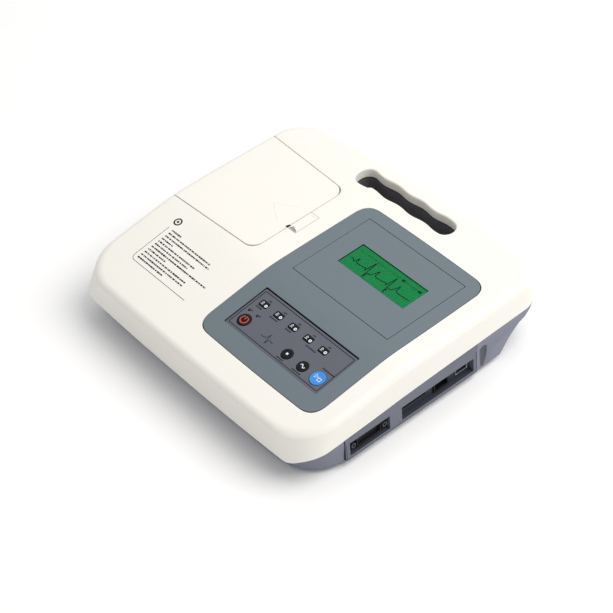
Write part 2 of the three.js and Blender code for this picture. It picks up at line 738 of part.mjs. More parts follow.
// ---------------------------------------------------------------- paper bay and printer

// The paper bay as a prism along X. Its back wall leans in at the bottom, over the sloping rear face.
function bay(x0, x1, inset, high) {
  const { half, low } = TRAY;
  const bend = 14.8;
  const profile = [
    [-half + inset, high],
    [-half + inset, low + inset],
    [half - inset * 0.6 - 11.6, low + inset],
    [half - inset, low + inset * 0.4 + bend],
    [half - inset, high],
  ];
  return prismX(profile, x0, x1);
}

function paperTray() {
  const { left, right, half, top, wall } = TRAY;
  const outer = bay(left, right, 0, top).intersect(baseRoom(GAP));
  const inner = bay(left + wall, right - wall, wall, 10);
  const exit = box(left - 5, left + 4.8, -half - 1, half + 1, -24, 10);
  const latchGap = box(right - wall - 1, right + 4, -CATCH.halfY - 3.5, CATCH.halfY + 3.5, -20.5, 0);
  const springSeat = box(right - 1, springX + 4, -5, 5, springLow - 2.4, springLow - GAP);
  return cut(join(cut(outer, inner, exit), springSeat), latchGap);
}
add("paper_tray", paperTray(), NYLON);
[-1, 1].forEach((side, i) => {
  const ends = [side * 50.4, side * 60.3].sort((a, b) => a - b);
  const pin = rod("y", ends[0], ends[1], [DOOR.hingeX, DOOR.hingeZ], DOOR.pinRadius, 16);
  add(i ? "hinge_pin_back" : "hinge_pin_front", pin, STEEL);
});

// Where a gear's axis lies, from the axis of the gear it meshes with.
function meshFrom(centre, a, b, turn) {
  const distance = (GEAR.module * (TEETH[a] + TEETH[b])) / 2 + GEAR.play;
  return { x: centre.x + distance * Math.cos(turn), z: centre.z + distance * Math.sin(turn) };
}
const IDLER = meshFrom(PLATEN, "platen", "idler", IDLER_TURN);
const MOTOR = meshFrom(IDLER, "idler", "pinion", PINION_TURN);

function printerFrame() {
  const cheek = [
    [-199.8, -14],
    [-195, -8],
    [-171, -8],
    [-157, -30],
    [-157, -60],
    [-199.8, -60],
  ];
  const cheeks = [-FRAME_Y - FRAME_THICK, FRAME_Y].map((y) => prismY(cheek, y, y + FRAME_THICK));
  const sill = box(-198, -158, -FRAME_Y - FRAME_THICK, FRAME_Y + FRAME_THICK, -60, -58);
  const bridge = box(-198, -190, -FRAME_Y - 1, FRAME_Y + 1, -34, -32);
  const axles = [
    rod("y", -70, 70, [PLATEN.x, PLATEN.z], PLATEN.shaft + GAP, 16),
    rod("y", -70, 70, [HEAD_PIVOT.x, HEAD_PIVOT.z], 1.5 + GAP, 14),
  ];
  const motorHole = rod("y", 20, 70, [MOTOR.x, MOTOR.z], 3.4, 16);
  const idlerPost = rod("y", FRAME_Y + 1, GEAR.y + GEAR.width + 0.6, [IDLER.x, IDLER.z], 1.6, 16);
  return cut(join(...cheeks, sill, bridge, idlerPost), ...axles, motorHole);
}


// A spur gear with plain tapered teeth about an axis along Y; phase turns its first tooth from +X to +Z.
function gear(teeth, x, z, phase, bore) {
  const pitch = (GEAR.module * teeth) / 2;
  const points = [];
  const step = (2 * Math.PI) / teeth;
  for (let i = 0; i < teeth; i++) {
    const profile = [
      [-0.3, -1.15],
      [-0.14, 0.85],
      [0.14, 0.85],
      [0.3, -1.15],
    ];
    for (const [turn, rise] of profile) {
      const a = phase + step * (i + turn);
      const r = pitch + rise * GEAR.module;
      points.push([x + r * Math.cos(a), z + r * Math.sin(a)]);
    }
  }
  const wheel = prismY(points, GEAR.y, GEAR.y + GEAR.width);
  return bore ? wheel.subtract(rod("y", 40, 60, [x, z], bore, 16)) : wheel;
}

const idlerStep = (2 * Math.PI) / TEETH.idler;
const pinionStep = (2 * Math.PI) / TEETH.pinion;
const idlerPhase = IDLER_TURN + Math.PI + idlerStep / 2;
const idlerTooth = (PINION_TURN - idlerPhase) / idlerStep;
const pinionPhase = PINION_TURN + Math.PI + (idlerTooth - Math.round(idlerTooth)) * pinionStep + pinionStep / 2;

add("printer_frame", printerFrame(), STEEL);
const sleeve = rod("y", -PAPER_HALF - 1, PAPER_HALF + 1, [PLATEN.x, PLATEN.z], PLATEN.radius, 28);
add("platen_roller", sleeve.subtract(rod("y", -60, 60, [PLATEN.x, PLATEN.z], PLATEN.shaft + GAP, 16)), RUBBER);
add("platen_shaft", rod("y", -FRAME_Y - 3, GEAR.y + GEAR.width, [PLATEN.x, PLATEN.z], PLATEN.shaft, 16), STEEL);
add("platen_gear", gear(TEETH.platen, PLATEN.x, PLATEN.z, IDLER_TURN, PLATEN.shaft + GAP), NYLON);
add("idler_gear", gear(TEETH.idler, IDLER.x, IDLER.z, idlerPhase, 1.6 + GAP), NYLON);
add("motor_pinion", gear(TEETH.pinion, MOTOR.x, MOTOR.z, pinionPhase, 0), STEEL);
const motorCan = rod("y", 20, FRAME_Y - GAP, [MOTOR.x, MOTOR.z], 9, 28);
add("drive_motor", motorCan.add(rod("y", 43, GEAR.y - GAP, [MOTOR.x, MOTOR.z], 2.2, 16)), STEEL);

const HEAD_HALF = PAPER_HALF + 0.4;

function printHead() {
  const { x, z } = HEAD_PIVOT;
  const ceramic = box(PLATEN.x - 6, PLATEN.x + 12, -HEAD_HALF, HEAD_HALF, -16.6, -15);
  const sink = box(PLATEN.x - 6, x + 2, -HEAD_HALF, HEAD_HALF, -15.2, -10.5);
  const grooves = [0, 4, 8].map((step) =>
    box(PLATEN.x + 6.5 + step, PLATEN.x + 7.9 + step, -HEAD_HALF - 1, HEAD_HALF + 1, -13, -9),
  );
  const pivot = rod("y", -FRAME_Y - FRAME_THICK - 0.6, FRAME_Y + FRAME_THICK + 0.4, [x, z], 1.5, 14);
  return cut(join(ceramic, sink, pivot), ...grooves);
}
add("print_head", printHead(), paint(0x9a9da3, 0.4, 0.8));
const coil = [HEAD_HALF + GAP, FRAME_Y - GAP];
const springCoil = rod("y", coil[0], coil[1], [HEAD_PIVOT.x, HEAD_PIVOT.z], 3, 20).subtract(
  rod("y", coil[0] - 1, coil[1] + 1, [HEAD_PIVOT.x, HEAD_PIVOT.z], 1.5 + GAP, 14),
);
add("head_spring", springCoil, STEEL);

const turn = (radius, bore) => {
  const { x, z } = ROLL;
  return cut(
    rod("y", -PAPER_HALF, PAPER_HALF, [x, z], radius, 40),
    rod("y", -60, 60, [x, z], bore, 24),
  );
};
add("paper_roll", turn(ROLL.radius, ROLL.core + GAP), PAPER);
add("paper_core", turn(ROLL.core, ROLL.bore), CARD);
for (const side of [-1, 1]) {
  const stub = side < 0 ? [-50.5, -38] : [38, 50.5];
  const spindle = rod("y", stub[0], stub[1], [ROLL.x, ROLL.z], ROLL.bore - GAP, 20);
  const ends = side < 0 ? [-56.6 + GAP, -50] : [50, 56.6 - GAP];
  const block = box(ROLL.x - 9, ROLL.x + 9, ends[0], ends[1], -61, -24).intersect(
    bay(-160, -106, TRAY.wall + GAP, 10),
  );
  add(side < 0 ? "roll_holder_front" : "roll_holder_back", spindle.add(block), NYLON);
}

// ---------------------------------------------------------------- electronics

function board(x0, x1, y0, y1, z, parts) {
  const chips = parts.map(([cx, cy, dx, dy, high]) =>
    box(cx - dx / 2, cx + dx / 2, cy - dy / 2, cy + dy / 2, z - 0.2, z + high),
  );
  return join(box(x0, x1, y0, y1, z - 1.6, z), ...chips);
}
add(
  "main_board",
  board(-84, 72.6, -112, -4, -56, [
    [-20, -60, 24, 24, 2.4],
    [20, -70, 14, 20, 2],
    [-50, -40, 18, 18, 2],
    [40, -30, 16, 22, 2.2],
    [0, -95, 40, 6, 6],
    [-60, -90, 12, 18, 3],
  ]),
  BOARD,
);
add(
  "power_board",
  board(-80, 62, 2, 28, -56, [
    [-60, 15, 26, 20, 20],
    [-20, 15, 16, 22, 16],
    [12, 15, 22, 18, 12],
    [44, 15, 10, 22, 24],
  ]),
  paint(0x8a6a3a, 0.6),
);
add("battery_pack", prismZ(roundedRect(BATTERY.left + 3, BATTERY.right - 3, BATTERY.front + 3, BATTERY.back - 3, 2), -62.2, -42), WRAP);
add(
  "battery_cover",
  prismZ(roundedRect(BATTERY.left + GAP, BATTERY.right - GAP, BATTERY.front + GAP, BATTERY.back - GAP, 4), BASE_FLOOR, BASE_FLOOR + WALL),
  GREY,
);
add("speaker", rod("z", -60, -52, [-20, -138], 12, 28), BLACK);

// ---------------------------------------------------------------- connectors

function sidePlate() {
  const { front, back, low, top, face, floor } = PLATE;
  const block = box(floor - 1.6, face, front, back, low, top);
  const pockets = POCKETS.map((p) => box(floor, face + 5, p.front, p.back, POCKET_LOW, POCKET_TOP));
  const cuts = PORTS.map((port) => port.hole());
  return cut(block, ...pockets, ...cuts).intersect(belowPart(-GAP));
}

// A trapezoid with rounded corners, wider at the top, as a prism along X: the outline of a D connector.
function dShape(middle, halfTop, halfLow, halfHigh, x0, x1) {
  const corners = [
    [-halfLow, -halfHigh],
    [halfLow, -halfHigh],
    [halfTop, halfHigh],
    [-halfTop, halfHigh],
  ];
  return prismX(corners.map(([y, z]) => [middle + y, PORT_Z + z]), x0, x1);
}

const PORTS = [
  { name: "lead_socket", y: -94.1, hole: () => box(80, 90, -115.2, -73.2, PORT_Z - 6.6, PORT_Z + 6.6) },
  { name: "card_socket", y: -42.4, hole: () => box(80, 90, -55.4, -29.4, PORT_Z - 1.8, PORT_Z + 2.2) },
  { name: "network_socket", y: -13, hole: () => box(80, 90, -21.6, -4.4, PORT_Z - 6.7, PORT_Z + 7) },
  { name: "usb_socket", y: 9.8, hole: () => box(80, 90, 2.6, 17, PORT_Z - 3.8, PORT_Z + 3.8) },
];
add("side_plate", sidePlate(), GREY);

const [LEAD, CARD_PORT, NETWORK, USB] = PORTS;
const deep = PLATE.floor;
const leadBody = cut(
  join(
    box(deep - 8, deep + 0.6, LEAD.y - 19.6, LEAD.y + 19.6, PORT_Z - 6.2, PORT_Z + 6.2),
    dShape(LEAD.y, 13.2, 12.2, 4.6, deep, deep + 3.4),
  ),
  dShape(LEAD.y, 12.5, 11.5, 3.9, deep + 0.8, deep + 8),
  rod("x", 70, 100, [LEAD.y - 16.65, PORT_Z], 1.9, 12),
  rod("x", 70, 100, [LEAD.y + 16.65, PORT_Z], 1.9, 12),
);
add(LEAD.name, leadBody, BLACK);
[-1, 1].forEach((side, i) => {
  const at = [LEAD.y + side * 16.65, PORT_Z];
  const nut = rod("x", deep + 0.95, deep + 4, at, 2.6, 6).add(rod("x", deep - 6, deep + 1, at, 1.5, 12));
  const thread = rod("x", deep + 1.5, deep + 8, at, 1.3, 12);
  add("jack_screw_" + (i + 1), nut.subtract(thread), STEEL);
});
const shellOf = (port, wide, high, length, stick, cavity, wall) =>
  cut(
    box(deep - length, deep + stick, port.y - wide / 2, port.y + wide / 2, PORT_Z - high / 2, PORT_Z + high / 2),
    box(deep + stick - cavity, deep + 20, port.y - wide / 2 + wall, port.y + wide / 2 - wall, PORT_Z - high / 2 + wall, PORT_Z + high / 2 - wall),
  );
add(CARD_PORT.name, shellOf(CARD_PORT, 25.4, 3.2, 18, 0.5, 15, 0.6), BLACK);
const tab = box(deep - 12, deep + 1, NETWORK.y - 4, NETWORK.y + 4, PORT_Z + 3.2, PORT_Z + 5.6);
add(NETWORK.name, shellOf(NETWORK, 16.4, 12.6, 14, 1.4, 12, 1.4).subtract(tab), BLACK);
const tongue = box(deep - 10, deep, USB.y - 5, USB.y + 5, PORT_Z + 0.2, PORT_Z + 2);
add(USB.name, shellOf(USB, 13.6, 6.6, 12, 1, 9, 0.6).add(tongue), STEEL);

function mainsInlet() {
  const { floor, socketX: x } = INLET;
  const z = (INLET.low + INLET.top) / 2;
  const mouth = [
    [-11.5, -7.5],
    [11.5, -7.5],
    [11.5, 4],
    [8, 7.5],
    [-8, 7.5],
    [-11.5, 4],
  ];
  const flange = box(x - 14.4, x + 14.4, floor + GAP, floor + 2.2, z - 9.8, z + 9.8);
  const body = box(x - 12.8, x + 12.8, floor - 18, floor + 1, z - 9, z + 9);
  const cavity = prismY(mouth.map(([a, b]) => [x + a, z + b]), floor - 14, floor + 5);
  const pins = [-7, 0, 7].map((at) => {
    const pinZ = at === 0 ? z + 2 : z - 1.5;
    return box(x + at - 1, x + at + 1, floor - 15, floor - 2, pinZ - 2, pinZ + 2);
  });
  return join(cut(join(flange, body), cavity), ...pins);
}
add("mains_inlet", mainsInlet(), BLACK);

function groundPost() {
  const { floor, postX: x } = INLET;
  const at = [x, (INLET.low + INLET.top) / 2];
  const nut = rod("y", floor + GAP, floor + 3, at, 4.6, 6);
  return join(nut, rod("y", floor - 6, floor + 1, at, 2, 12), rod("y", floor + 2, floor + 11, at, 2.9, 16));
}
add("ground_post", groundPost(), paint(0xc9a545, 0.35, 1));

// Stand the part on the floor, with its origin under the middle of the case.
const bounds = new THREE.Box3().setFromObject(device);
const middle = bounds.getCenter(new THREE.Vector3());
device.position.set(-middle.x, -middle.y, -bounds.min.z);

export default device;
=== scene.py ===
"""Looks of the ECG machine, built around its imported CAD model.

Shapes are worked out in millimetres in the design frame: origin at the display's centre on the top
face, +X to the user's right, +Y away from the user, +Z up. They become metres in the part's frame
when a mesh is made.
"""

import math
import random

import bmesh
import bpy
from mathutils import Matrix, Vector
from mathutils.geometry import delaunay_2d_cdt


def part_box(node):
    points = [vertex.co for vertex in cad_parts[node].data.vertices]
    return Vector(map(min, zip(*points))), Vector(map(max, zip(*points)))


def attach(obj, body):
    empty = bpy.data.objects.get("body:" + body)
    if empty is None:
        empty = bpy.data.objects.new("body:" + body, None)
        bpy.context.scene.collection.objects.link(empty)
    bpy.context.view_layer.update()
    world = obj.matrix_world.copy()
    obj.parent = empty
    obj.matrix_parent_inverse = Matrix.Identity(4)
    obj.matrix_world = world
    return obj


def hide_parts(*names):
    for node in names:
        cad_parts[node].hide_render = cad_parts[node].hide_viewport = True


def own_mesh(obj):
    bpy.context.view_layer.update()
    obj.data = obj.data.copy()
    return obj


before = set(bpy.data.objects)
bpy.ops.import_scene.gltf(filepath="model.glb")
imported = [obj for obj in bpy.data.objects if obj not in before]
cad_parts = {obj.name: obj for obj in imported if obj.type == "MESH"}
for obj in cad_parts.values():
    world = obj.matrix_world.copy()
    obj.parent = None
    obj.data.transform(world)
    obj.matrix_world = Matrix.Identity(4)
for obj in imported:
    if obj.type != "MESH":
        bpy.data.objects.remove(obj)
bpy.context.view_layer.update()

# ---------------------------------------------------------------- sizes, from the frame

MM = 0.001
GAP = 0.35  # clearance between neighbouring pieces
FLOOR_Z = -68.0
LENS_MIDDLE = Vector((1.35, 3.75))

_lo, _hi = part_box("display_lens")
_middle = [(a + b) / 2 / MM for a, b in zip(_lo, _hi)]
ORIGIN = Vector((_middle[0] - LENS_MIDDLE.x, _middle[1] - LENS_MIDDLE.y, -FLOOR_Z))


def metres(p):
    return (Vector(p) + ORIGIN) * MM


def node_box(node):
    """Lowest and highest corner of a CAD node, in the design frame."""
    lo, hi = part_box(node)
    return lo / MM - ORIGIN, hi / MM - ORIGIN


shell_lo, shell_hi = node_box("top_shell")
lens_lo, lens_hi = node_box("display_lens")

# Plan of the case: four bowed sides between rounded corners.
BOW_LEFT, BOW_RIGHT, BOW_FRONT, BOW_BACK = 2.4, 1.9, 2.1, 7.4
LEFT = shell_lo.x + BOW_LEFT
RIGHT = shell_hi.x - BOW_RIGHT
FRONT = shell_lo.y + BOW_FRONT
BACK_LEFT, BACK_RIGHT = 90.0, 105.2
CORNER_FRONT, CORNER_BACK = 36.0, 24.0
LOW_CORNER_LEFT, LOW_CORNER_RIGHT = 14.0, 26.0  # the front corners at the shell's lower edge
TOP_EDGE = 6.5

# Side profile of the top face.
LEVEL_SLOPE, KEY_SLOPE = 0.015, 0.149
BEND_Y, BEND_HALF = -56.9, 12.0

# Parting line between shell and base: y, z.
PARTING = [
    (-180, -49.4), (-164.5, -49), (-161.7, -46.2), (-158, -42.8), (-152.5, -40.5), (-145, -39),
    (-126, -37.6), (-89, -34.7), (-62, -32.3), (-34, -30.9), (-7, -29.9), (50, -28.9), (120, -28.4),
]

# Paper door: its front and back seams spread towards the left wall.
DOOR_RIGHT = -101.3
DOOR_HALF, DOOR_FLARE, DOOR_CORNER = 52.6, 0.0425, 11.0
SKIRT_LOW, WALL_TOP = -15.0, -20.6
LATCH_RIGHT, LATCH_FRONT, LATCH_BACK = -90.7, -13.6, 13.0

# Hand slot, and the outer face of the connector plate.
SLOT_LEFT, SLOT_RIGHT, SLOT_FRONT, SLOT_BACK = -111.0, 3.4, 72.0, 89.4
SLOT_FLANGE = 9.0
PLATE_FACE = 92.6


def lerp(a, b, t):
    return a + (b - a) * t


def smooth(edge0, edge1, x):
    t = min(max((x - edge0) / (edge1 - edge0), 0), 1)
    return t * t * (3 - 2 * t)


def ramp(table, x):
    """Straight lines through a table of (x, value)."""
    if x <= table[0][0]:
        return table[0][1]
    for (x0, v0), (x1, v1) in zip(table, table[1:]):
        if x <= x1:
            return lerp(v0, v1, (x - x0) / (x1 - x0))
    return table[-1][1]


def top_z(y):
    before = BEND_Y - y
    drop = 0 if before < -BEND_HALF else before
    if -BEND_HALF <= before < BEND_HALF:
        drop = (before + BEND_HALF) ** 2 / (4 * BEND_HALF)
    return LEVEL_SLOPE * y - (KEY_SLOPE - LEVEL_SLOPE) * drop


def top_normal(y):
    slope = top_z(y + 0.5) - top_z(y - 0.5)
    return Vector((0, -slope, 1)).normalized()


def parting_z(y):
    """The parting line, its corners eased where it rises towards the back."""
    ease = 4 * smooth(-150, -120, y)
    return sum(ramp(PARTING, y + step * ease) for step in (-1, -0.5, 0, 0.5, 1)) / 5


# ---------------------------------------------------------------- plan outlines

ROUNDING = 0.55  # how far a corner's curve reaches towards its sharp corner
CORNER_STEPS, END_STEPS = 18, 44


def between(a, b, count):
    """count + 1 values from a to b."""
    return [lerp(a, b, i / count) for i in range(count + 1)]


def back_y(x, inset):
    t = (x - LEFT) / (RIGHT - LEFT)
    return lerp(BACK_LEFT, BACK_RIGHT, t) + 4 * BOW_BACK * t * (1 - t) - inset


def seam_y(x, grow):
    """Half the distance between the door's two seams at x, the hole grown by a margin."""
    return DOOR_HALF + grow + DOOR_FLARE * (DOOR_RIGHT + grow - DOOR_CORNER - x)


class Outline:
    """The case outline moved in by inset, with the sizes of its front left and right corners."""

    def __init__(self, inset, corners=(CORNER_FRONT, CORNER_FRONT)):
        self.inset = inset
        self.corners = corners
        self.left = LEFT + inset
        self.right = RIGHT - inset
        self.front = FRONT + inset

    def front_at(self, x):
        middle, half = (self.left + self.right) / 2, (self.right - self.left) / 2
        return self.front - BOW_FRONT * (1 - ((x - middle) / half) ** 2)

    def side_at(self, side, y):
        x = self.left if side < 0 else self.right
        bow = -BOW_LEFT if side < 0 else BOW_RIGHT
        far = back_y(x, self.inset)
        v = (2 * y - self.front - far) / (far - self.front)
        return x + bow * (1 - v * v)

    def corner(self, side, end):
        """Points of one corner, from the case's side across to its front or back."""
        x = self.left if side < 0 else self.right
        size = CORNER_BACK if end > 0 else self.corners[0 if side < 0 else 1]
        far = self.front if end < 0 else back_y(x, self.inset)
        y = far - end * size
        across = x - side * size
        a = Vector((self.side_at(side, y), y))
        b = Vector((x, far))
        c = Vector((across, self.front_at(across) if end < 0 else back_y(across, self.inset)))
        p, q = a.lerp(b, ROUNDING), c.lerp(b, ROUNDING)
        points = []
        for t in between(0, 1, CORNER_STEPS):
            s = 1 - t
            points.append(a * s**3 + p * 3 * s * s * t + q * 3 * s * t * t + c * t**3)
        return points

    def side(self, side, y0, y1, count):
        return [Vector((self.side_at(side, y), y)) for y in between(y0, y1, count)]

    def round_case(self, y_front, y_back):
        """From the left side at y_front, round the front, right and back, to the left side at y_back."""
        fl, fr = self.corner(-1, -1), self.corner(1, -1)
        br, bl = self.corner(1, 1), self.corner(-1, 1)
        front = [Vector((x, self.front_at(x))) for x in between(fl[-1].x, fr[-1].x, END_STEPS)]
        back = [Vector((x, back_y(x, self.inset))) for x in between(br[-1].x, bl[-1].x, END_STEPS)]
        runs = [
            self.side(-1, y_front, fl[0].y, 14),
            fl,
            front,
            fr[::-1],
            self.side(1, fr[0].y, br[0].y, END_STEPS),
            br,
            back,
            bl[::-1],
            self.side(-1, bl[0].y, y_back, 6),
        ]
        points = [runs[0][0]]
        for run in runs:
            points.extend(run[1:])
        return points


def vectors(*points):
    return [Vector(p) for p in points]


def bar(x, y, length):
    return vectors((x, y), (x + length, y))


def arc(centre, radius, start, end, count):
    cx, cy = centre
    angles = [math.radians(a) for a in between(start, end, count)]
    return [Vector((cx + radius * math.cos(a), cy + radius * math.sin(a))) for a in angles]


def rounded_rect(x0, x1, y0, y1, r, count=6):
    points = []
    for turn, (x, y) in enumerate(((x1 - r, y0 + r), (x1 - r, y1 - r), (x0 + r, y1 - r), (x0 + r, y0 + r))):
        points += arc((x, y), r, 90 * turn - 90, 90 * turn, count)
    return points


def circle(x, y, r, count=48):
    return arc((x, y), r, 0, 360, count)[:-1]


def spread(points, step, closed=True):
    """The same polyline with points no further apart than step."""
    out = []
    ends = points[1:] + (points[:1] if closed else [])
    for a, b in zip(points, ends):
        n = max(1, math.ceil((b - a).length / step))
        out += [a.lerp(b, i / n) for i in range(n)]
    if not closed:
        out.append(points[-1])
    return out


def panel_outline(grow):
    x0, x1 = -73.9 - grow, 73.1 + grow
    y0, y1 = -136.6 - grow, 55.3 + grow
    c, bow = 17.0, 1.2
    mx, my = (x0 + x1) / 2, (y0 + y1) / 2
    curves = [
        ((x0 + c, y0), (mx, y0 - bow), (x1 - c, y0), 24),
        ((x1 - c, y0), (x1, y0), (x1, y0 + c), 16),
        ((x1, y0 + c), (x1 + bow, my), (x1, y1 - c), 30),
        ((x1, y1 - c), (x1, y1), (x1 - c, y1), 16),
        ((x1 - c, y1), (mx, y1 + bow), (x0 + c, y1), 24),
        ((x0 + c, y1), (x0, y1), (x0, y1 - c), 16),
        ((x0, y1 - c), (x0 - bow, my), (x0, y0 + c), 30),
        ((x0, y0 + c), (x0, y0), (x0 + c, y0), 16),
    ]
    points = []
    for a, b, c2, count in curves:
        a, b, c2 = Vector(a), Vector(b), Vector(c2)
        points += [a.lerp(b, i / count).lerp(b.lerp(c2, i / count), i / count) for i in range(count)]
    return points


def door_path(grow, x_end, notch):
    """Across the top from x_end on the front seam, round the door's right end and back to x_end."""
    x1 = DOOR_RIGHT + grow
    h = DOOR_HALF + grow
    c = DOOR_CORNER
    path = [Vector((x_end, -seam_y(x_end, grow)))]
    path += arc((x1 - c, -h + c), c, -90, 0, 10)
    if notch:
        low, high, far = LATCH_FRONT - grow, LATCH_BACK + grow, LATCH_RIGHT + grow
        path += vectors((x1, low), (far, low), (far, high), (x1, high))
    path += arc((x1 - c, h - c), c, 0, 90, 10)
    path.append(Vector((x_end, seam_y(x_end, grow))))
    return spread(path, 4, closed=False)


def slot_edge(y, crest, x):
    return y + 0.025 * (x + 54) + 0.8 * math.cos(2 * math.pi * (x - crest) / 31)


def slot_outline(grow):
    radius = (SLOT_BACK - SLOT_FRONT) / 2
    x0, x1 = SLOT_LEFT + radius, SLOT_RIGHT - radius
    stations = between(x0, x1, 72)
    front = []
    for x in stations:
        widening = 2.2 * (1 - smooth(-90.4, -87.4, x))
        front.append(Vector((x, slot_edge(SLOT_FRONT, -23, x) - widening - grow)))
    back = [Vector((x, slot_edge(SLOT_BACK, -43, x) + grow)) for x in stations]

    def end(low, high, side):
        middle, reach = (low + high) / 2, (high - low).length / 2
        turns = [math.pi * i / 16 for i in range(1, 16)]
        return [
            Vector((middle.x + side * (radius + grow) * math.sin(a), middle.y - side * reach * math.cos(a)))
            for a in turns
        ]

    return front + end(front[-1], back[-1], 1) + back[::-1] + end(front[0], back[0], -1)


# ---------------------------------------------------------------- meshes

TOP_GRID = 9  # spacing of the points inside a filled sheet
SAME_POINT = 0.002  # points nearer than this become one
MERGE_STEPS = 200  # per mm, the lattice on which a sheet's points are compared


def inside(p, polygon):
    hit = False
    x, y = p
    for a, b in zip(polygon, polygon[1:] + polygon[:1]):
        if (a.y > y) != (b.y > y) and x < (b.x - a.x) * (y - a.y) / (b.y - a.y) + a.x:
            hit = not hit
    return hit


NEIGHBOURS = [(a, b, c) for a in (0, -1, 1) for b in (0, -1, 1) for c in (0, -1, 1)]


class Sheet:
    """An open surface with a normal at each point. close() gives it thickness and rounded edges."""

    def __init__(self):
        self.points = []
        self.normals = []
        self.faces = []

    def add_row(self, points, normals):
        start = len(self.points)
        self.points += [Vector(p) for p in points]
        self.normals += [Vector(n).normalized() for n in normals]
        return list(range(start, len(self.points)))

    def add_strip(self, a, b):
        for i in range(len(a) - 1):
            self.faces.append((a[i], a[i + 1], b[i + 1], b[i]))

    def fill(self, outer, holes, drop=0, grid=TOP_GRID):
        """Fills a plan outline, less its holes, parallel to the case's top face and lower by drop."""
        loops = [outer, *holes]
        xy = [p for loop in loops for p in loop]
        edges = []
        start = 0
        for loop in loops:
            n = len(loop)
            edges += [(start + i, start + (i + 1) % n) for i in range(n)]
            start += n
        lo = Vector((min(p.x for p in outer), min(p.y for p in outer)))
        hi = Vector((max(p.x for p in outer), max(p.y for p in outer)))
        tight = grid * 0.45  # how near a grid point may come to an outline
        for i in range(1, int((hi.x - lo.x) / grid) + 1):
            for j in range(1, int((hi.y - lo.y) / grid) + 1):
                p = Vector((lo.x + i * grid, lo.y + j * grid))
                if not inside(p, outer) or any(inside(p, hole) for hole in holes):
                    continue
                if all(abs(p.x - q.x) > tight or abs(p.y - q.y) > tight for q in xy[:start]):
                    xy.append(p)
        verts, _, faces, *_ = delaunay_2d_cdt([p.to_2d() for p in xy], edges, [], 0, 1e-5)
        row = self.add_row([(v.x, v.y, top_z(v.y) - drop) for v in verts], [top_normal(v.y) for v in verts])
        for f in faces:
            middle = sum((verts[i] for i in f), Vector((0, 0))) / len(f)
            if inside(middle, outer) and not any(inside(middle, hole) for hole in holes):
                self.faces.append(tuple(row[i] for i in f))

    def merged(self):
        """Points that coincide become one."""
        seen = {}
        index = []
        points, normals = [], []
        for p, n in zip(self.points, self.normals):
            key = tuple(round(v * MERGE_STEPS) for v in p)
            near = [tuple(k + n for k, n in zip(key, step)) for step in NEIGHBOURS]
            found = next((seen[k] for k in near if k in seen), None)
            if found is None:
                found = len(points)
                seen[key] = found
                points.append(p)
                normals.append(n)
            index.append(found)
        faces = []
        for f in self.faces:
            g = []
            for i in f:
                if index[i] not in g:
                    g.append(index[i])
            if len(g) > 2:
                faces.append(tuple(g))
        self.points, self.normals, self.faces = points, normals, faces

    def rims(self):
        """The surface's edges as closed rows of points, with the surface on their left."""
        count = {}
        for f in self.faces:
            for a, b in zip(f, f[1:] + f[:1]):
                count[(a, b)] = count.get((a, b), 0) + 1
        after = {a: b for (a, b) in count if (b, a) not in count}
        loops = []
        while after:
            a = next(iter(after))
            loop = [a]
            b = after.pop(a)
            while b != loop[0] and b in after:
                loop.append(b)
                b = after.pop(b)
            if len(loop) > 2:
                loops.append(loop)
        return loops

    def close(self, thickness, edge, rim_shape=None):
        """Adds the underside and rounded edges. rim_shape may give a rim its own (out, down) profile."""
        self.merged()
        under = len(self.points)
        rims = self.rims()
        self.faces += [tuple(i + under for i in reversed(f)) for f in self.faces]
        self.points += [p - n * thickness for p, n in zip(self.points, self.normals)]
        self.normals *= 2
        quarter = [(edge * math.sin(a), edge * (1 - math.cos(a))) for a in (0.5, 1.05, math.pi / 2)]
        plain = quarter + [(edge, thickness - edge * 0.5), (edge * 0.5, thickness)]
        for rim in rims:
            profile = plain
            if rim_shape:
                profile = rim_shape(self.points[rim[0]]) or plain
            out = []
            for i, at in enumerate(rim):
                p, n = self.points[at], self.normals[at]
                back, ahead = self.points[rim[i - 1]], self.points[rim[(i + 1) % len(rim)]]
                d0 = (p - back).cross(n).normalized()
                d1 = (ahead - p).cross(n).normalized()
                out.append((d0 + d1) / max(1 + d0.dot(d1), 0.3))
            rows = [rim]
            for s, d in profile:
                places = [self.points[at] + o * s - self.normals[at] * d for at, o in zip(rim, out)]
                rows.append(self.add_row(places, [self.normals[at] for at in rim]))
            rows.append([at + under for at in rim])
            for a, b in zip(rows, rows[1:]):
                self.add_strip(b + b[:1], a + a[:1])

    def make(self, name, body, *nodes, sharp=35):
        return make_mesh(name, self.points, self.faces, body, *nodes, sharp=sharp)


def make_mesh(name, points, faces, body, *nodes, sharp=35, merge=SAME_POINT):
    mesh = bpy.data.meshes.new(name)
    mesh.from_pydata([metres(p) for p in points], [], [tuple(f) for f in faces])
    bm = bmesh.new()
    bm.from_mesh(mesh)
    bmesh.ops.remove_doubles(bm, verts=bm.verts, dist=merge * MM)
    bmesh.ops.dissolve_degenerate(bm, edges=bm.edges, dist=merge * MM)
    bmesh.ops.recalc_face_normals(bm, faces=bm.faces)
    bm.to_mesh(mesh)
    bm.free()
    piece = bpy.data.objects.new(name, mesh)
    bpy.context.scene.collection.objects.link(piece)
    return finish_piece(piece, body, nodes, sharp)


def finish_piece(piece, body, nodes, sharp, weighted=True):
    """Shading, then the body that the piece rides on and the CAD nodes that it stands for."""
    piece.data.shade_smooth()
    piece.data.set_sharp_from_angle(angle=math.radians(sharp))
    if weighted:
        normals = piece.modifiers.new("weighted_normals", "WEIGHTED_NORMAL")
        normals.keep_sharp = True
        normals.weight = 80
    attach(piece, body)
    if nodes:
        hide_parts(*nodes)
    return piece


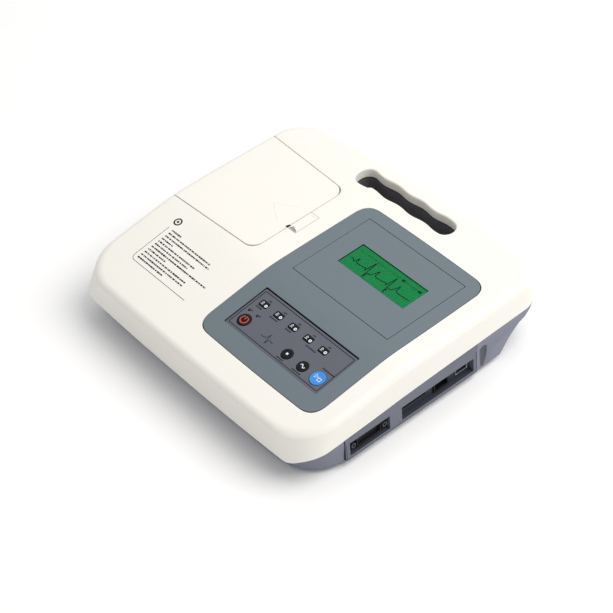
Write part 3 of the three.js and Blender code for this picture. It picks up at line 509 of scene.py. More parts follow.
def refine(node, body, material, edge, sharp=35, weighted=True, join=True):
    """A CAD node with its edges rounded, and with its flat faces joined up if join is set."""
    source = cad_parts[node]
    mesh = source.data.copy()
    mesh.materials.clear()
    bm = bmesh.new()
    bm.from_mesh(mesh)
    bmesh.ops.remove_doubles(bm, verts=bm.verts, dist=SAME_POINT * MM)
    if join:
        bmesh.ops.dissolve_limit(bm, angle_limit=math.radians(0.6), verts=bm.verts, edges=bm.edges)
    bm.to_mesh(mesh)
    bm.free()
    piece = bpy.data.objects.new(node + "_body", mesh)
    bpy.context.scene.collection.objects.link(piece)
    bevel = piece.modifiers.new("edges", "BEVEL")
    bevel.width = edge * MM
    bevel.segments = 2
    bevel.limit_method = "ANGLE"
    bevel.angle_limit = math.radians(sharp)
    bevel.harden_normals = False
    finish_piece(piece, body, [node], sharp, weighted)
    return dress(piece, material)


def dress(piece, material):
    piece.data.materials.clear()
    piece.data.materials.append(material)
    return piece


def lathe(name, body, node, centre, profile):
    """A round piece about an axis along Y; profile is a closed row of (y, radius)."""
    sides = 72
    points, faces = [], []
    n = len(profile)
    for i in range(sides):
        a = 2 * math.pi * i / sides
        c, s = math.cos(a), math.sin(a)
        for y, r in profile:
            points.append((centre[0] + r * c, y, centre[1] - r * s))
    for i in range(sides):
        j = (i + 1) % sides
        for k in range(n):
            m = (k + 1) % n
            faces.append((i * n + k, j * n + k, j * n + m, i * n + m))
    return make_mesh(name, points, faces, body, node)


def on_top(x, y, lift):
    """A point of the case's top face, raised by lift."""
    return Vector((x, y, top_z(y))) + top_normal(y) * lift


def ribbon(points, width, place, lift=0.03, closed=False, crown=0.0):
    """Rows of a thin line drawn on a surface: two edges, or three where it has a raised crown."""
    n = len(points)
    rows = [[], [], []]
    for i, p in enumerate(points):
        a = points[i - 1] if closed or i else p
        b = points[(i + 1) % n] if closed or i + 1 < n else p
        side = Vector((-(b - a).y, (b - a).x)).normalized() * width / 2
        for row, out, rise in zip(rows, (side, side * 0, -side), (0, crown, 0)):
            q = p + out
            row.append(place(q.x, q.y, lift + rise))
    return (rows if crown else rows[::2]), closed


def patch(points, place, lift=0.03):
    """A filled flat mark, as two rows that meet at its middle."""
    middle = sum(points, Vector((0, 0))) / len(points)
    rim = [place(p.x, p.y, lift) for p in points]
    return [[place(middle.x, middle.y, lift)] * len(points), rim], True


def draw(name, body, material, ribbons):
    """One piece made of many ribbons and patches."""
    points, faces = [], []
    for rows, closed in ribbons:
        n = len(rows[0])
        start = len(points)
        for row in rows:
            points += row
        for k in range(len(rows) - 1):
            for i in range(n if closed else n - 1):
                j = (i + 1) % n
                a, b = start + k * n, start + (k + 1) * n
                faces.append((a + i, b + i, b + j, a + j))
    piece = make_mesh(name, points, faces, body, merge=SAME_POINT / 4)
    return dress(piece, material)


def paint(piece, material, chosen):
    """Gives the faces that chosen(middle, normal) picks another material, middle in the design frame."""
    piece.data.materials.append(material)
    index = len(piece.data.materials) - 1
    for face in piece.data.polygons:
        if chosen(face.center / MM - ORIGIN, face.normal):
            face.material_index = index


# ---------------------------------------------------------------- materials

def material(
    name, slot, color, roughness, metallic=0.0, grain=1500.0, bump=0.12, tint=0.06, dirt=0.35, wear=0.0,
    coat=0.0, specular=0.5, alpha=1.0, stretch=None,
):
    """Moulded or machined surface: fine grain in its bump, slow changes of colour and gloss, painted shade
    in its seams where ambient occlusion darkens the colour, and paler worn edges."""
    m = bpy.data.materials.new(name)
    m.use_nodes = True
    m["slot"] = slot
    tree = m.node_tree
    tree.nodes.clear()
    node, link = tree.nodes.new, tree.links.new

    def noise(vector, scale, detail):
        made = node("ShaderNodeTexNoise")
        made.inputs["Scale"].default_value = scale
        made.inputs["Detail"].default_value = detail
        link(vector, made.inputs["Vector"])
        return made.outputs["Fac"]

    def mapped(value, from_range, to_range):
        made = node("ShaderNodeMapRange")
        for end, low, high in (("Min", from_range[0], to_range[0]), ("Max", from_range[1], to_range[1])):
            made.inputs["From " + end].default_value = low
            made.inputs["To " + end].default_value = high
        link(value, made.inputs["Value"])
        return made.outputs["Result"]

    def toward(base, other, factor):
        """The base colour, a socket or a constant, mixed with another constant colour."""
        made = node("ShaderNodeMix")
        made.data_type = "RGBA"
        if isinstance(base, tuple):
            made.inputs["A"].default_value = base
        else:
            link(base, made.inputs["A"])
        made.inputs["B"].default_value = other
        link(factor, made.inputs["Factor"])
        return made.outputs["Result"]

    def scaled(share, lift=0.0):
        return (*[min(c * share + lift, 1) for c in color], 1)

    out = node("ShaderNodeOutputMaterial")
    shader = node("ShaderNodeBsdfPrincipled")
    link(shader.outputs["BSDF"], out.inputs["Surface"])
    shader.inputs["Metallic"].default_value = metallic
    shader.inputs["Coat Weight"].default_value = coat
    shader.inputs["Alpha"].default_value = alpha
    shader.inputs["Specular IOR Level"].default_value = specular
    place = node("ShaderNodeTexCoord").outputs["Object"]
    slow = noise(place, 34, 5)
    if stretch:
        scale = node("ShaderNodeMapping")
        scale.inputs["Scale"].default_value = stretch
        link(place, scale.inputs["Vector"])
        place = scale.outputs["Vector"]
    fine = noise(place, grain, 3)
    colour = toward(scaled(1 - tint), scaled(1 + tint), slow)
    # Painted shade: the colour darkens towards 35 % of itself where ambient occlusion finds nearby
    # surfaces, in seams and recesses.
    if dirt:
        seam = node("ShaderNodeAmbientOcclusion")
        seam.inputs["Distance"].default_value = 0.0035
        seam.samples = 4
        colour = toward(colour, scaled(0.35), mapped(seam.outputs["AO"], (0.2, 0.75), (dirt, 0)))
    if wear:
        edges = node("ShaderNodeNewGeometry").outputs["Pointiness"]
        colour = toward(colour, scaled(1.35, 0.05), mapped(edges, (0.52, 0.66), (0, wear)))
    link(colour, shader.inputs["Base Color"])
    gloss = mapped(slow, (0, 1), (max(roughness - 0.07, 0.02), min(roughness + 0.09, 1)))
    link(gloss, shader.inputs["Roughness"])
    relief = node("ShaderNodeBump")
    relief.inputs["Strength"].default_value = bump
    relief.inputs["Distance"].default_value = 0.0001
    link(fine, relief.inputs["Height"])
    link(relief.outputs["Normal"], shader.inputs["Normal"])
    return m


def grey(name, color, roughness=0.5, specular=0.4, bump=0.25, wear=0.0):
    return material(name, "base_grey", color, roughness, bump=bump, wear=wear, specular=specular)


def ink(name, slot, color, roughness=0.6, specular=0.1):
    return material(name, slot, color, roughness, dirt=0, specular=specular)


SHELL = {"slot": "shell_white", "roughness": 0.42, "bump": 0.16, "tint": 0.012}
BRUSHED = {"metallic": 1, "stretch": (1, 0.05, 1)}

WHITE = material("shell_white", color=(0.855, 0.832, 0.775), dirt=0.12, specular=0.35, **SHELL)
WHITE_RELIEF = material("shell_relief", color=(0.86, 0.84, 0.785), dirt=0, **SHELL)
RELIEF_SHADE = ink("shell_shade", "shell_white", (0.3, 0.3, 0.3), specular=0.5)
INK_ON_WHITE = ink("case_print", "shell_white", (0.03, 0.03, 0.035), specular=0.2)

GREY = grey("base_grey", (0.182, 0.191, 0.25), wear=0.25)
PLATE_GREY = grey("plate_grey", (0.124, 0.134, 0.174), wear=0.25)
# Painted shade: darker grey for the scooped recess behind the connector plate.
SCOOP_SHADE = grey("scoop_grey", (0.07, 0.075, 0.1))
# Painted shade: dark grey for the floors of the port recesses.
LEDGE_SHADE_GREY = grey("ledge_grey", (0.041, 0.046, 0.062), 0.55, 0.3)
# Painted shade: near-black grey for the back walls of the port recesses.
RECESS_SHADE_GREY = grey("recess_grey", (0.034, 0.038, 0.051), 0.55, 0.3)
# Painted shade: dark grey for the walls inside the hand slot.
SLOT_WALL_SHADE = grey("charcoal", (0.1, 0.1, 0.112), 0.6, 0.3)
# Painted shade: dark grey for the walls of the gap round the connector plate.
SEAM_SHADE_GREY = grey("seam_grey", (0.06, 0.063, 0.08), 0.6, 0.2, bump=0.12)
# Painted shade: near black for thin lines and patches that stand for shaded gaps and notches.
PAINTED_GAP_SHADE = grey("groove", (0.01, 0.01, 0.012), 0.8, 0.1, bump=0.12)

SLATE = material(
    "panel_slate", "panel_slate", (0.136, 0.17, 0.198), 0.5,
    bump=0.2, tint=0.03, dirt=0.7, wear=0.2, specular=0.4,
)
# Painted shade: near-black colour for the walls of the panel's recesses.
PAINTED_WALL_SHADE = material("panel_wall", "panel_slate", (0.012, 0.014, 0.017), 0.7, specular=0.1)
INK = ink("printed_ink", "panel_slate", (0.014, 0.016, 0.02))
PLATE = material(
    "keypad_grey", "keypad_grey", (0.108, 0.116, 0.142), 0.5,
    bump=0.18, tint=0.04, dirt=0.6, wear=0.2, specular=0.3,
)
BLACK = material(
    "key_black", "key_black", (0.006, 0.007, 0.009), 0.4, bump=0.08, dirt=0, wear=0.15, specular=0.16,
)
BLUE = material(
    "key_blue", "key_blue", (0.04, 0.25, 0.72), 0.4, bump=0.08, dirt=0.3, wear=0.1, specular=0.3,
)
RED = ink("symbol_red", "key_black", (0.55, 0.07, 0.045), 0.5, 0.2)
PALE = ink("symbol_white", "key_black", (0.8, 0.83, 0.87), 0.5, 0.5)
INK_ON_KEY = ink("dark_mark", "key_black", (0.012, 0.013, 0.016), 0.5, 0.2)
LAMP = material("lamp", "lamp_clear", (0.02, 0.024, 0.024), 0.25, dirt=0, specular=0.4)

SCREEN = material(
    "screen_green", "screen_green", (0.0032, 0.2, 0.052), 0.6, grain=900, bump=0.02, dirt=0, specular=0.1,
)
TRACE = ink("screen_trace", "screen_green", (0.001, 0.02, 0.01))
FAINT = ink("screen_faint", "screen_green", (0.004, 0.12, 0.038))
GLASS = material("screen_clear", "screen_clear", (0.02, 0.08, 0.05), 0.12, alpha=0.02, dirt=0, bump=0.02)

STEEL = material("steel", "steel", (0.5, 0.51, 0.53), 0.32, bump=0.15, **BRUSHED)
# Painted shade: steel darkened for the jack screws, which sit in the shade of the lead socket's pocket.
SHADED_STEEL = material("dull_steel", "steel", (0.07, 0.074, 0.085), 0.5, metallic=0.6, bump=0.15)
ALUMINIUM = material("head_metal", "head_aluminium", (0.55, 0.57, 0.6), 0.4, bump=0.2, **BRUSHED)
GOLD = material("brass", "brass", (0.7, 0.5, 0.16), 0.3, metallic=1)
RUBBER = material("rubber", "rubber", (0.018, 0.018, 0.019), 0.75, bump=0.4)
NYLON = material("nylon", "nylon", (0.62, 0.6, 0.54), 0.5, bump=0.2, dirt=0.5)
PAPER = material("paper", "paper_white", (0.83, 0.79, 0.77), 0.7, grain=2600, bump=0.3, dirt=0.2)
CARD = material("card", "card", (0.3, 0.2, 0.11), 0.8, grain=900, bump=0.5)
BOARD = material("board_green", "board_green", (0.012, 0.09, 0.035), 0.35, coat=0.3)
TAN = material("board_tan", "board_tan", (0.2, 0.12, 0.04), 0.45)
WRAP = material("battery_wrap", "battery_wrap", (0.02, 0.05, 0.17), 0.28, bump=0.15, coat=0.3)
DARK = material("connector_black", "connector_black", (0.008, 0.008, 0.01), 0.45, bump=0.2, specular=0.25)


# ---------------------------------------------------------------- top shell and paper door

FILLET = [math.radians(a) for a in (0, 12, 24, 36, 48, 60, 72, 82, 90)]
FRONT_CREASE = 0.27  # share of the quarter turn that the front's top edge stops short of
LIP = 0.45  # radius of the edges along seams
LOW_INSET = 0.6  # the walls lean in by this much at their lower edge
SLOT_LIP = 1.7
SHELL_THICK, DOOR_THICK = 2.4, 2.2


def edge_weight(y):
    """How strongly the front's crease shows: 1 along the front, 0 along the sides and back."""
    return 1 - smooth(-148, -96, y)


def skin_rows(sheet, outer, inner, lower, low):
    """Rows of points over the top edge and down the wall; low(y) is the lower outline's height."""
    rows = []
    for angle in FILLET:
        points, normals = [], []
        for p, q in zip(outer, inner):
            a = angle * (1 - FRONT_CREASE * edge_weight(p.y))
            side = (p - q).normalized()
            inset = TOP_EDGE * (1 - math.sin(a))
            at = p.lerp(q, inset / TOP_EDGE)
            points.append((at.x, at.y, top_z(at.y) - TOP_EDGE * (1 - math.cos(a))))
            normals.append(Vector((side.x * math.sin(a), side.y * math.sin(a), math.cos(a))))
        rows.append(sheet.add_row(points, normals))
    crease = [sheet.points[at] for at in rows[-1]]
    for share in (0.05, 0.3, 0.55, 0.8, 1.0):
        points, normals = [], []
        for start, p, q, foot in zip(crease, outer, inner, lower):
            at = start.xy.lerp(foot, share)
            points.append((at.x, at.y, lerp(start.z, low(foot.y), share)))
            normals.append(Vector((*(p - q).normalized(), 0)))
        rows.append(sheet.add_row(points, normals))
    for a, b in zip(rows, rows[1:]):
        sheet.add_strip(b, a)
    return rows


def slot_rim(p):
    """Around the hand slot the shell turns down into a flange; other rims keep their plain edge."""
    if SLOT_LEFT - 5 < p.x < SLOT_RIGHT + 5 and 60 < p.y < 96 and p.z > -3:
        e, wall = SLOT_LIP, 2.2
        turns = [math.radians(a) for a in (18, 36, 54, 72, 90)]
        curve = [(e * math.sin(a), e * (1 - math.cos(a))) for a in turns]
        return curve + [(e, 5.0), (e, SLOT_FLANGE), (e - wall, SLOT_FLANGE), (e - wall, 2.6)]
    return None


def top_shell():
    sheet = Sheet()
    grow = GAP + LIP
    outer, inner = Outline(0), Outline(TOP_EDGE)
    y_seam = seam_y(LEFT + TOP_EDGE / 2, grow)
    ring0 = outer.round_case(-y_seam, y_seam)
    ring1 = inner.round_case(-y_seam, y_seam)
    lower = Outline(LOW_INSET, corners=(LOW_CORNER_LEFT, LOW_CORNER_RIGHT)).round_case(-y_seam, y_seam)
    rows = skin_rows(sheet, ring0, ring1, lower, lambda y: parting_z(y) + LIP)
    path = door_path(grow, ring1[0].x, notch=True)
    path[0], path[-1] = ring1[0], ring1[-1]
    boundary = ring1[::-1][:-1] + path[:-1]
    boundary.reverse()
    holes = [panel_outline(GAP + LIP), slot_outline(SLOT_LIP)]
    sheet.fill(boundary, holes)
    wall = []
    for share in (0, 1):
        left = Outline(lerp(LOW_INSET / 3, LOW_INSET, share)).side(-1, y_seam, -y_seam, 40)
        points = [(p.x, p.y, lerp(WALL_TOP - LIP, parting_z(p.y) + LIP, share)) for p in left]
        wall.append(sheet.add_row(points, [(-1, 0, 0)] * len(left)))
    sheet.add_strip(wall[1], wall[0])
    for end, column in ((0, -1), (-1, 0)):
        tall = [rows[k][column] for k in range(len(rows))]
        low_corner = sheet.points[wall[0][end]]
        over = next(i for i, at in enumerate(tall) if sheet.points[at].z < low_corner.z)
        sheet.points[tall[over]] = low_corner.copy()

    sheet.close(SHELL_THICK, LIP, slot_rim)
    return dress(sheet.make("top_cover", "case", "top_shell", sharp=24), WHITE)


def paper_door():
    sheet = Sheet()
    grow = -GAP - LIP
    outer, inner = Outline(0), Outline(TOP_EDGE)
    y_seam = seam_y(LEFT + TOP_EDGE / 2, grow)
    ring0 = outer.side(-1, y_seam, -y_seam, 40)
    ring1 = inner.side(-1, y_seam, -y_seam, 40)
    lower = Outline(LOW_INSET / 3).side(-1, y_seam, -y_seam, 40)
    skin_rows(sheet, ring0, ring1, lower, lambda y: SKIRT_LOW + LIP)
    path = door_path(grow, ring1[0].x, notch=False)
    path[0], path[-1] = ring1[-1], ring1[0]
    boundary = path[:-1] + ring1[:-1]
    sheet.fill(boundary, [])
    sheet.close(DOOR_THICK, LIP)
    return dress(sheet.make("paper_lid", "door", "paper_door", sharp=24), WHITE)


def seam_rebate():
    """A narrow white step in the gap behind the door, which the door's back edge rests against."""
    line = [p for p in door_path(GAP / 2, LEFT + TOP_EDGE, notch=False) if p.y > LATCH_BACK + 4]
    sheet = Sheet()
    low, high = [], []
    for i, p in enumerate(line):
        ahead = line[min(i + 1, len(line) - 1)] - line[max(i - 1, 0)]
        out = Vector((ahead.y, -ahead.x)).normalized() * 0.1
        for row, q in ((low, p - out), (high, p + out)):
            row.append((q.x, q.y, top_z(q.y) - 0.6))
    rows = [sheet.add_row(row, [top_normal(p.y) for p in line]) for row in (low, high)]
    sheet.add_strip(rows[0], rows[1])
    sheet.close(0.8, 0.02)
    dress(sheet.make("seam_step", "case"), WHITE_RELIEF)


def latch_marks():
    """Painted shade: a black patch for the finger notch beside the latch, and a grey patch of painted
    shadow on the latch's cap.
    """
    notch = vectors((-103.6, -14.4), (-100.6, -14.0), (-99.8, -10.6), (-102.0, -10.2))
    draw("latch_notch", "case", PAINTED_GAP_SHADE, [patch(notch, on_top)])
    shade = vectors((-99.8, -13.4), (-98.0, -9.2), (-91.4, -11.6), (-91.0, -13.4))
    draw("latch_shade", "latch", RELIEF_SHADE, [patch(shade, on_top)])


top_shell()
paper_door()
seam_rebate()
latch_marks()

TEXT_BARS = (13, 57, 60, 15, 50, 45, 74, 24, 57, 57, 34)  # lengths of the bars that stand in for text
TEXT_PITCH, TEXT_HEIGHT = 3.8, 1.7


def draw_marks_on_case():
    """The printed bracket, emblem and text bars beside the door, and the triangle raised on the door."""
    x0, x1, y0, y1, r = -176.2, -101.4, -127.4, -83.9, 5.0
    line = [Vector((x0 - 1.2, y1)), *arc((x0 + r, y0 + r), r, 180, 270, 8), Vector((x1, y0))]
    marks = [ribbon(spread(line, 4, closed=False), 0.5, on_top)]
    emblem = Vector((-175.8, -75.1))
    marks.append(ribbon(circle(*emblem, 3.4, 40), 1.5, on_top, closed=True))
    marks.append(patch(circle(*emblem, 1.3, 24), on_top))
    words = random.Random(4)
    for row, total in enumerate(TEXT_BARS):
        y = -84.6 - TEXT_PITCH * row
        x, end = -172.0, -172.0 + total
        while x < end:
            step = words.uniform(0.9, 3.2)
            length = min(step, end - x)
            marks.append(ribbon(bar(x, y, length), TEXT_HEIGHT * words.uniform(0.75, 1), on_top))
            x += step + words.choice((0.35, 0.35, 0.9))
    draw("printed_marks", "case", INK_ON_WHITE, marks)
    triangle = spread(vectors((-133.3, -2), (-111.7, -15.3), (-111.7, 11.8)), 2)
    ridge = ribbon(triangle, 1.3, on_top, 0.0, closed=True, crown=0.25)
    draw("raised_triangle", "door", WHITE_RELIEF, [ridge])


draw_marks_on_case()


# ---------------------------------------------------------------- control panel and display

BEZEL_X, BEZEL_Y, BEZEL_THICK = 58.85, 43.15, 1.6
SCREEN_LEFT, SCREEN_RIGHT, SCREEN_FRONT, SCREEN_BACK = lens_lo.x, lens_hi.x, lens_lo.y, lens_hi.y
KEY_LEFT, KEY_RIGHT, KEY_FRONT, KEY_BACK = -58.4, 57.9, -119.0, -72.0
KEY_SINK, KEY_PLATE_THICK = 1.2, 1.6
KEY_TILT = math.atan(KEY_SLOPE)
KEY_MIDDLE = (KEY_FRONT + KEY_BACK) / 2
PANEL_THICK = 4.2


def plan_sheet(name, nodes, mat, outline, holes, drop, thickness, edge, grid=TOP_GRID):
    """A flat part of the control panel, its top face sunk by drop."""
    sheet = Sheet()
    sheet.fill(outline, holes, drop, grid)
    sheet.close(thickness, edge)
    return dress(sheet.make(name, "case", *nodes), mat)


def control_panel():
    e = 0.35
    g = GAP + e
    bezel_hole = rounded_rect(-BEZEL_X - g, BEZEL_X + g, -BEZEL_Y - g, BEZEL_Y + g, 1.2)
    key_hole = rounded_rect(KEY_LEFT - e, KEY_RIGHT + e, KEY_FRONT - e, KEY_BACK + e, 1.3)
    holes = [spread(bezel_hole, 6), spread(key_hole, 6)]
    piece = plan_sheet("panel", ["control_panel"], SLATE, panel_outline(-e), holes, 0, PANEL_THICK, e)
    # Painted shade: the recess walls round the display and keypad are painted near black.
    paint(piece, PAINTED_WALL_SHADE, lambda p, n: p.z < top_z(p.y) - 0.55)


def display_bezel():
    e = 0.3
    outline = rounded_rect(-BEZEL_X + e, BEZEL_X - e, -BEZEL_Y + e, BEZEL_Y - e, 0.9)
    outline, holes = spread(outline, 6), [screen_outline(-GAP - e, 0.9)]
    piece = plan_sheet("display_frame", ["display_bezel"], SLATE, outline, holes, 0, BEZEL_THICK, e)
    # Painted shade: the walls round the screen's window are painted near black.
    paint(piece, PAINTED_WALL_SHADE, lambda p, n: p.z < top_z(p.y) - 0.35)


FILM_DROP = 0.85  # the lit film lies just under the window
STATUS_ROW = 12.6  # the line of small marks along the screen's top
SQUARE = ((-1, -1), (1, -1), (1, 1), (-1, 1))


def on_screen(x, y, lift):
    return Vector((x, y, top_z(y) - FILM_DROP + lift))


def screen_outline(inset, radius):
    x0, x1 = SCREEN_LEFT + inset, SCREEN_RIGHT - inset
    y0, y1 = SCREEN_FRONT + inset, SCREEN_BACK - inset
    return spread(rounded_rect(x0, x1, y0, y1, radius), 6)


def display():
    e = 0.15
    plan_sheet("display_window", ["display_lens"], GLASS, screen_outline(e, 0.5), [], 0.4, 0.35, e)
    refine("lcd_module", "case", DARK, 0.15)
    plan_sheet("screen_film", [], SCREEN, screen_outline(0.2, 0.5), [], FILM_DROP, 0.45, 0.1)
    beat = [
        (0, 0), (2, 0.2), (3.6, 1.4), (5.2, -1.6), (6.6, 11.6), (8.9, -8.8), (9.9, -1.6), (11.6, -2.8),
        (13.4, -0.4), (15.9, 6.8), (16.6, 0.2), (19, -0.8),
    ]
    wave = [(-35.5, 0.6), (-32.4, 1.0), (-29.2, -1.2), (-27.8, 5.0), (-26.6, -0.8)]
    for start in (-20.0, 5.5):
        wave += [(start + x, y - 0.4) for x, y in beat]
    wave += [(32, -0.9), (38, -0.4)]
    marks = [ribbon(spread(vectors(*wave), 1.2, closed=False), 0.95, on_screen)]
    for x in (17.6, 37.2):
        marks.append(patch([Vector((x + 1.6 * a, STATUS_ROW + 1.3 * b)) for a, b in SQUARE], on_screen))
    draw("screen_trace", "case", TRACE, marks)
    faint = []
    digits = random.Random(9)
    x = SCREEN_LEFT + 4
    while x < SCREEN_RIGHT - 4:
        length = digits.uniform(0.8, 2.6)
        faint.append(ribbon(bar(x, STATUS_ROW, length), 1.7, on_screen, 0.02))
        x += length + digits.uniform(0.6, 2.4)
    for x in (-8.5, 15.3):
        faint.append(ribbon(bar(x - 1.2, -9, 2.4), 1.4, on_screen, 0.02))
    draw("screen_marks", "case", FAINT, faint)


control_panel()
display_bezel()
display()


# ---------------------------------------------------------------- keypad

def on_keypad(x, up, lift):
    """A point of the keypad's own frame: x across, up its slope, lift out of it."""
    c, s = math.cos(KEY_TILT), math.sin(KEY_TILT)
    return Vector((x, KEY_MIDDLE + up * c - lift * s, top_z(KEY_MIDDLE) + up * s + lift * c))


def up_slope(y):
    return (y - KEY_MIDDLE) / math.cos(KEY_TILT)


PLATE_TOP = -KEY_SINK
PRINT_LIFT = PLATE_TOP + 0.03
KEY_TOP, KEY_LOW = PLATE_TOP + 0.3, -4.2
ROUND_ROW, FUNCTION_ROW = up_slope(-106.9), up_slope(-85.2)
ROUND_KEYS = {
    "power_key": (-46.6, 6.2, BLACK),
    "mode_key": (8.4, 5.2, BLACK),
    "filter_key": (27.8, 5.2, BLACK),
    "print_key": (46.2, 7.0, BLUE),
}
FUNCTION_KEYS = {f"function_key_{i + 1}": -46.4 + 18.75 * i for i in range(5)}
LAMPS = {"indicator_lamp_1": -51.6, "indicator_lamp_2": -41.4}
LAMP_ROW, LAMP_RADIUS = up_slope(-97), 1.1


def key_outline(x, row, radius, grow):
    if radius:
        return circle(x, row, radius + grow, 64)
    w, h = 4.5 + grow, 3 + grow
    return rounded_rect(x - w, x + w, row - h, row + h, 1.2 + grow, 6)


def cap(name, body, nodes, outline, top, low, edge, dish, mat):
    """A key: upright sides, a rounded edge, and a top that sinks to its middle by dish."""
    middle = sum(outline, Vector((0, 0))) / len(outline)
    reach = min((p - middle).length for p in outline)
    stations = [(0, low), (0, top - edge)]
    for a in (0.4, 0.8, 1.2, math.pi / 2):
        stations.append((edge * (1 - math.cos(a)), top - edge * (1 - math.sin(a))))
    for t in (0.2, 0.4, 0.6, 0.8, 0.99):
        stations.append((lerp(edge, reach, t), top - dish * smooth(0.05, 0.8, t)))
    points, faces = [], []
    n = len(outline)
    for inset, height in stations:
        share = 1 - inset / reach
        points += [on_keypad(*(middle + (p - middle) * share), height) for p in outline]
    for k in range(len(stations) - 1):
        for i in range(n):
            j = (i + 1) % n
            faces.append((k * n + i, k * n + j, (k + 1) * n + j, (k + 1) * n + i))
    faces.append(tuple(range(n - 1, -1, -1)))
    faces.append(tuple(range((len(stations) - 1) * n, len(stations) * n)))
    return dress(make_mesh(name, points, faces, body, *nodes, sharp=40), mat)


def keypad_plate():
    e = 0.12
    outline = [
        Vector((p.x, KEY_MIDDLE + p.y))
        for p in rounded_rect(KEY_LEFT + GAP + e, KEY_RIGHT - GAP - e, -23.15 + e, 22.8 - e, 0.9)
    ]
    squeeze = math.cos(KEY_TILT)
    holes = [key_outline(x, ROUND_ROW, r, GAP + e) for x, r, _ in ROUND_KEYS.values()]
    holes += [key_outline(x, FUNCTION_ROW, 0, GAP + e) for x in FUNCTION_KEYS.values()]
    holes += [key_outline(x, LAMP_ROW, LAMP_RADIUS, GAP + e)[::3] for x in LAMPS.values()]
    holes = [[Vector((p.x, KEY_MIDDLE + p.y * squeeze)) for p in hole] for hole in holes]
    drop = KEY_SINK / squeeze
    outline = spread(outline, 6)
    plan_sheet("key_plate", ["keypad_plate"], PLATE, outline, holes, drop, KEY_PLATE_THICK, e, grid=6)
    frame_line = rounded_rect(KEY_LEFT + 2.6, KEY_RIGHT - 2.6, -20.9, 20.6, 0.8)
    lines = [ribbon(spread(frame_line, 3), 0.7, on_keypad, PRINT_LIFT, closed=True)]
    beat = [
        (-7, 0), (-3.6, 0), (-2.4, 1), (-1.2, 0), (0.3, 6.2), (1.9, -4.6), (3, 0), (4.4, 1.3),
        (5.6, 0), (8, 0),
    ]
    icon = [Vector((-16.9 + x, up_slope(-108.1) + y)) for x, y in beat]
    lines.append(ribbon(spread(icon, 2, closed=False), 0.6, on_keypad, PRINT_LIFT))
    labels = random.Random(2)

    def label(x, up, length, height):
        end = x + length
        while x < end - 0.5:
            dash = labels.uniform(0.7, 1.3)
            lines.append(ribbon(bar(x, up, dash), height, on_keypad, PRINT_LIFT))
            x += dash + 0.45

    for x in FUNCTION_KEYS.values():
        label(x + 0.5, FUNCTION_ROW + 5.2, 3, 1.3)
    for x, length in zip(FUNCTION_KEYS.values(), (7, 9, 7, 0, 0)):
        label(x - length / 2 - 1, FUNCTION_ROW - 5.4, length, 1.4)
    label(FUNCTION_KEYS["function_key_4"] + 3, FUNCTION_ROW - 5.8, 12, 1.4)
    label(3.4, ROUND_ROW - 7.3, 8, 1.3)
    label(22.4, ROUND_ROW - 7.3, 10, 1.3)
    label(41.5, ROUND_ROW + 9.6, 13, 1.4)
    for x in LAMPS.values():
        label(x + 1.9, LAMP_ROW + 0.6, 1.6, 1.4)
    draw("keypad_print", "case", INK, lines)


def symbol(key, x, row, material, shapes):
    """Marks printed on a key, given about its middle."""
    top = KEY_TOP + 0.02

    def place(u, v, lift):
        return on_keypad(x + u, row + v, top + lift)

    made = []
    for kind, points, width in shapes:
        points = vectors(*points)
        if kind == "fill":
            made.append(patch(points, place))
        else:
            made.append(ribbon(points, width, place, closed=kind == "loop"))
    draw(key + "_" + material.name, key, material, made)


def keys():
    for key, (x, r, mat) in ROUND_KEYS.items():
        outline = key_outline(x, ROUND_ROW, r, 0)
        cap(key + "_cap", key, [key], outline, KEY_TOP, KEY_LOW, 0.45, 0.12, mat)
    for key, x in FUNCTION_KEYS.items():
        outline = key_outline(x, FUNCTION_ROW, 0, 0)
        cap(key + "_cap", key, [key], outline, KEY_TOP, KEY_LOW, 0.4, 0.05, BLACK)
        badge = [("fill", circle(2.9, -0.7, 1.45, 24), 0), ("loop", circle(-1.9, 0.6, 0.85, 20), 0.4)]
        badge.append(("line", [(-3.4, -1.2), (-0.6, -1.2)], 0.4))
        symbol(key, x, FUNCTION_ROW, PALE, badge)
        symbol(key, x, FUNCTION_ROW, INK_ON_KEY, [("fill", circle(2.9, -0.7, 0.6, 16), 0)])
    wave = [(lerp(-2.6, 2.6, i / 20), 1.3 * math.sin(2 * math.pi * i / 20)) for i in range(21)]
    stop = [(2.3 + 1.5 * a, -0.5 + 1.5 * b) for a, b in SQUARE]
    symbols = {
        "power_key": [("line", arc((0, 0), 3.6, 118, 422, 40), 1.1), ("line", [(0, 0.3), (0, 4.1)], 1.1)],
        "mode_key": [("fill", SQUARE, 0)],
        "filter_key": [("line", wave, 0.75)],
        "print_key": [("loop", circle(-2.3, 0.7, 2.1, 3), 0.75), ("loop", stop, 0.75)],
    }
    for key, shapes in symbols.items():
        symbol(key, ROUND_KEYS[key][0], ROUND_ROW, RED if key == "power_key" else PALE, shapes)
    for lamp, x in LAMPS.items():
        outline = circle(x, LAMP_ROW, LAMP_RADIUS, 24)
        cap(lamp + "_lens", "case", [lamp], outline, PLATE_TOP + 0.2, -5, 0.3, -0.05, LAMP)


keypad_plate()
keys()


# ---------------------------------------------------------------- base, ports and the other hard parts

PLATE_FRONT, PLATE_BACK, PLATE_FOOT = -120.55, 24.55, -61.35  # the opening round the connector plate
SCOOP_CENTRE = Vector((97, 31.5))


def in_slot(p):
    return SLOT_LEFT - 2 < p.x < SLOT_RIGHT + 2 and SLOT_FRONT - 5 < p.y < SLOT_BACK + 4


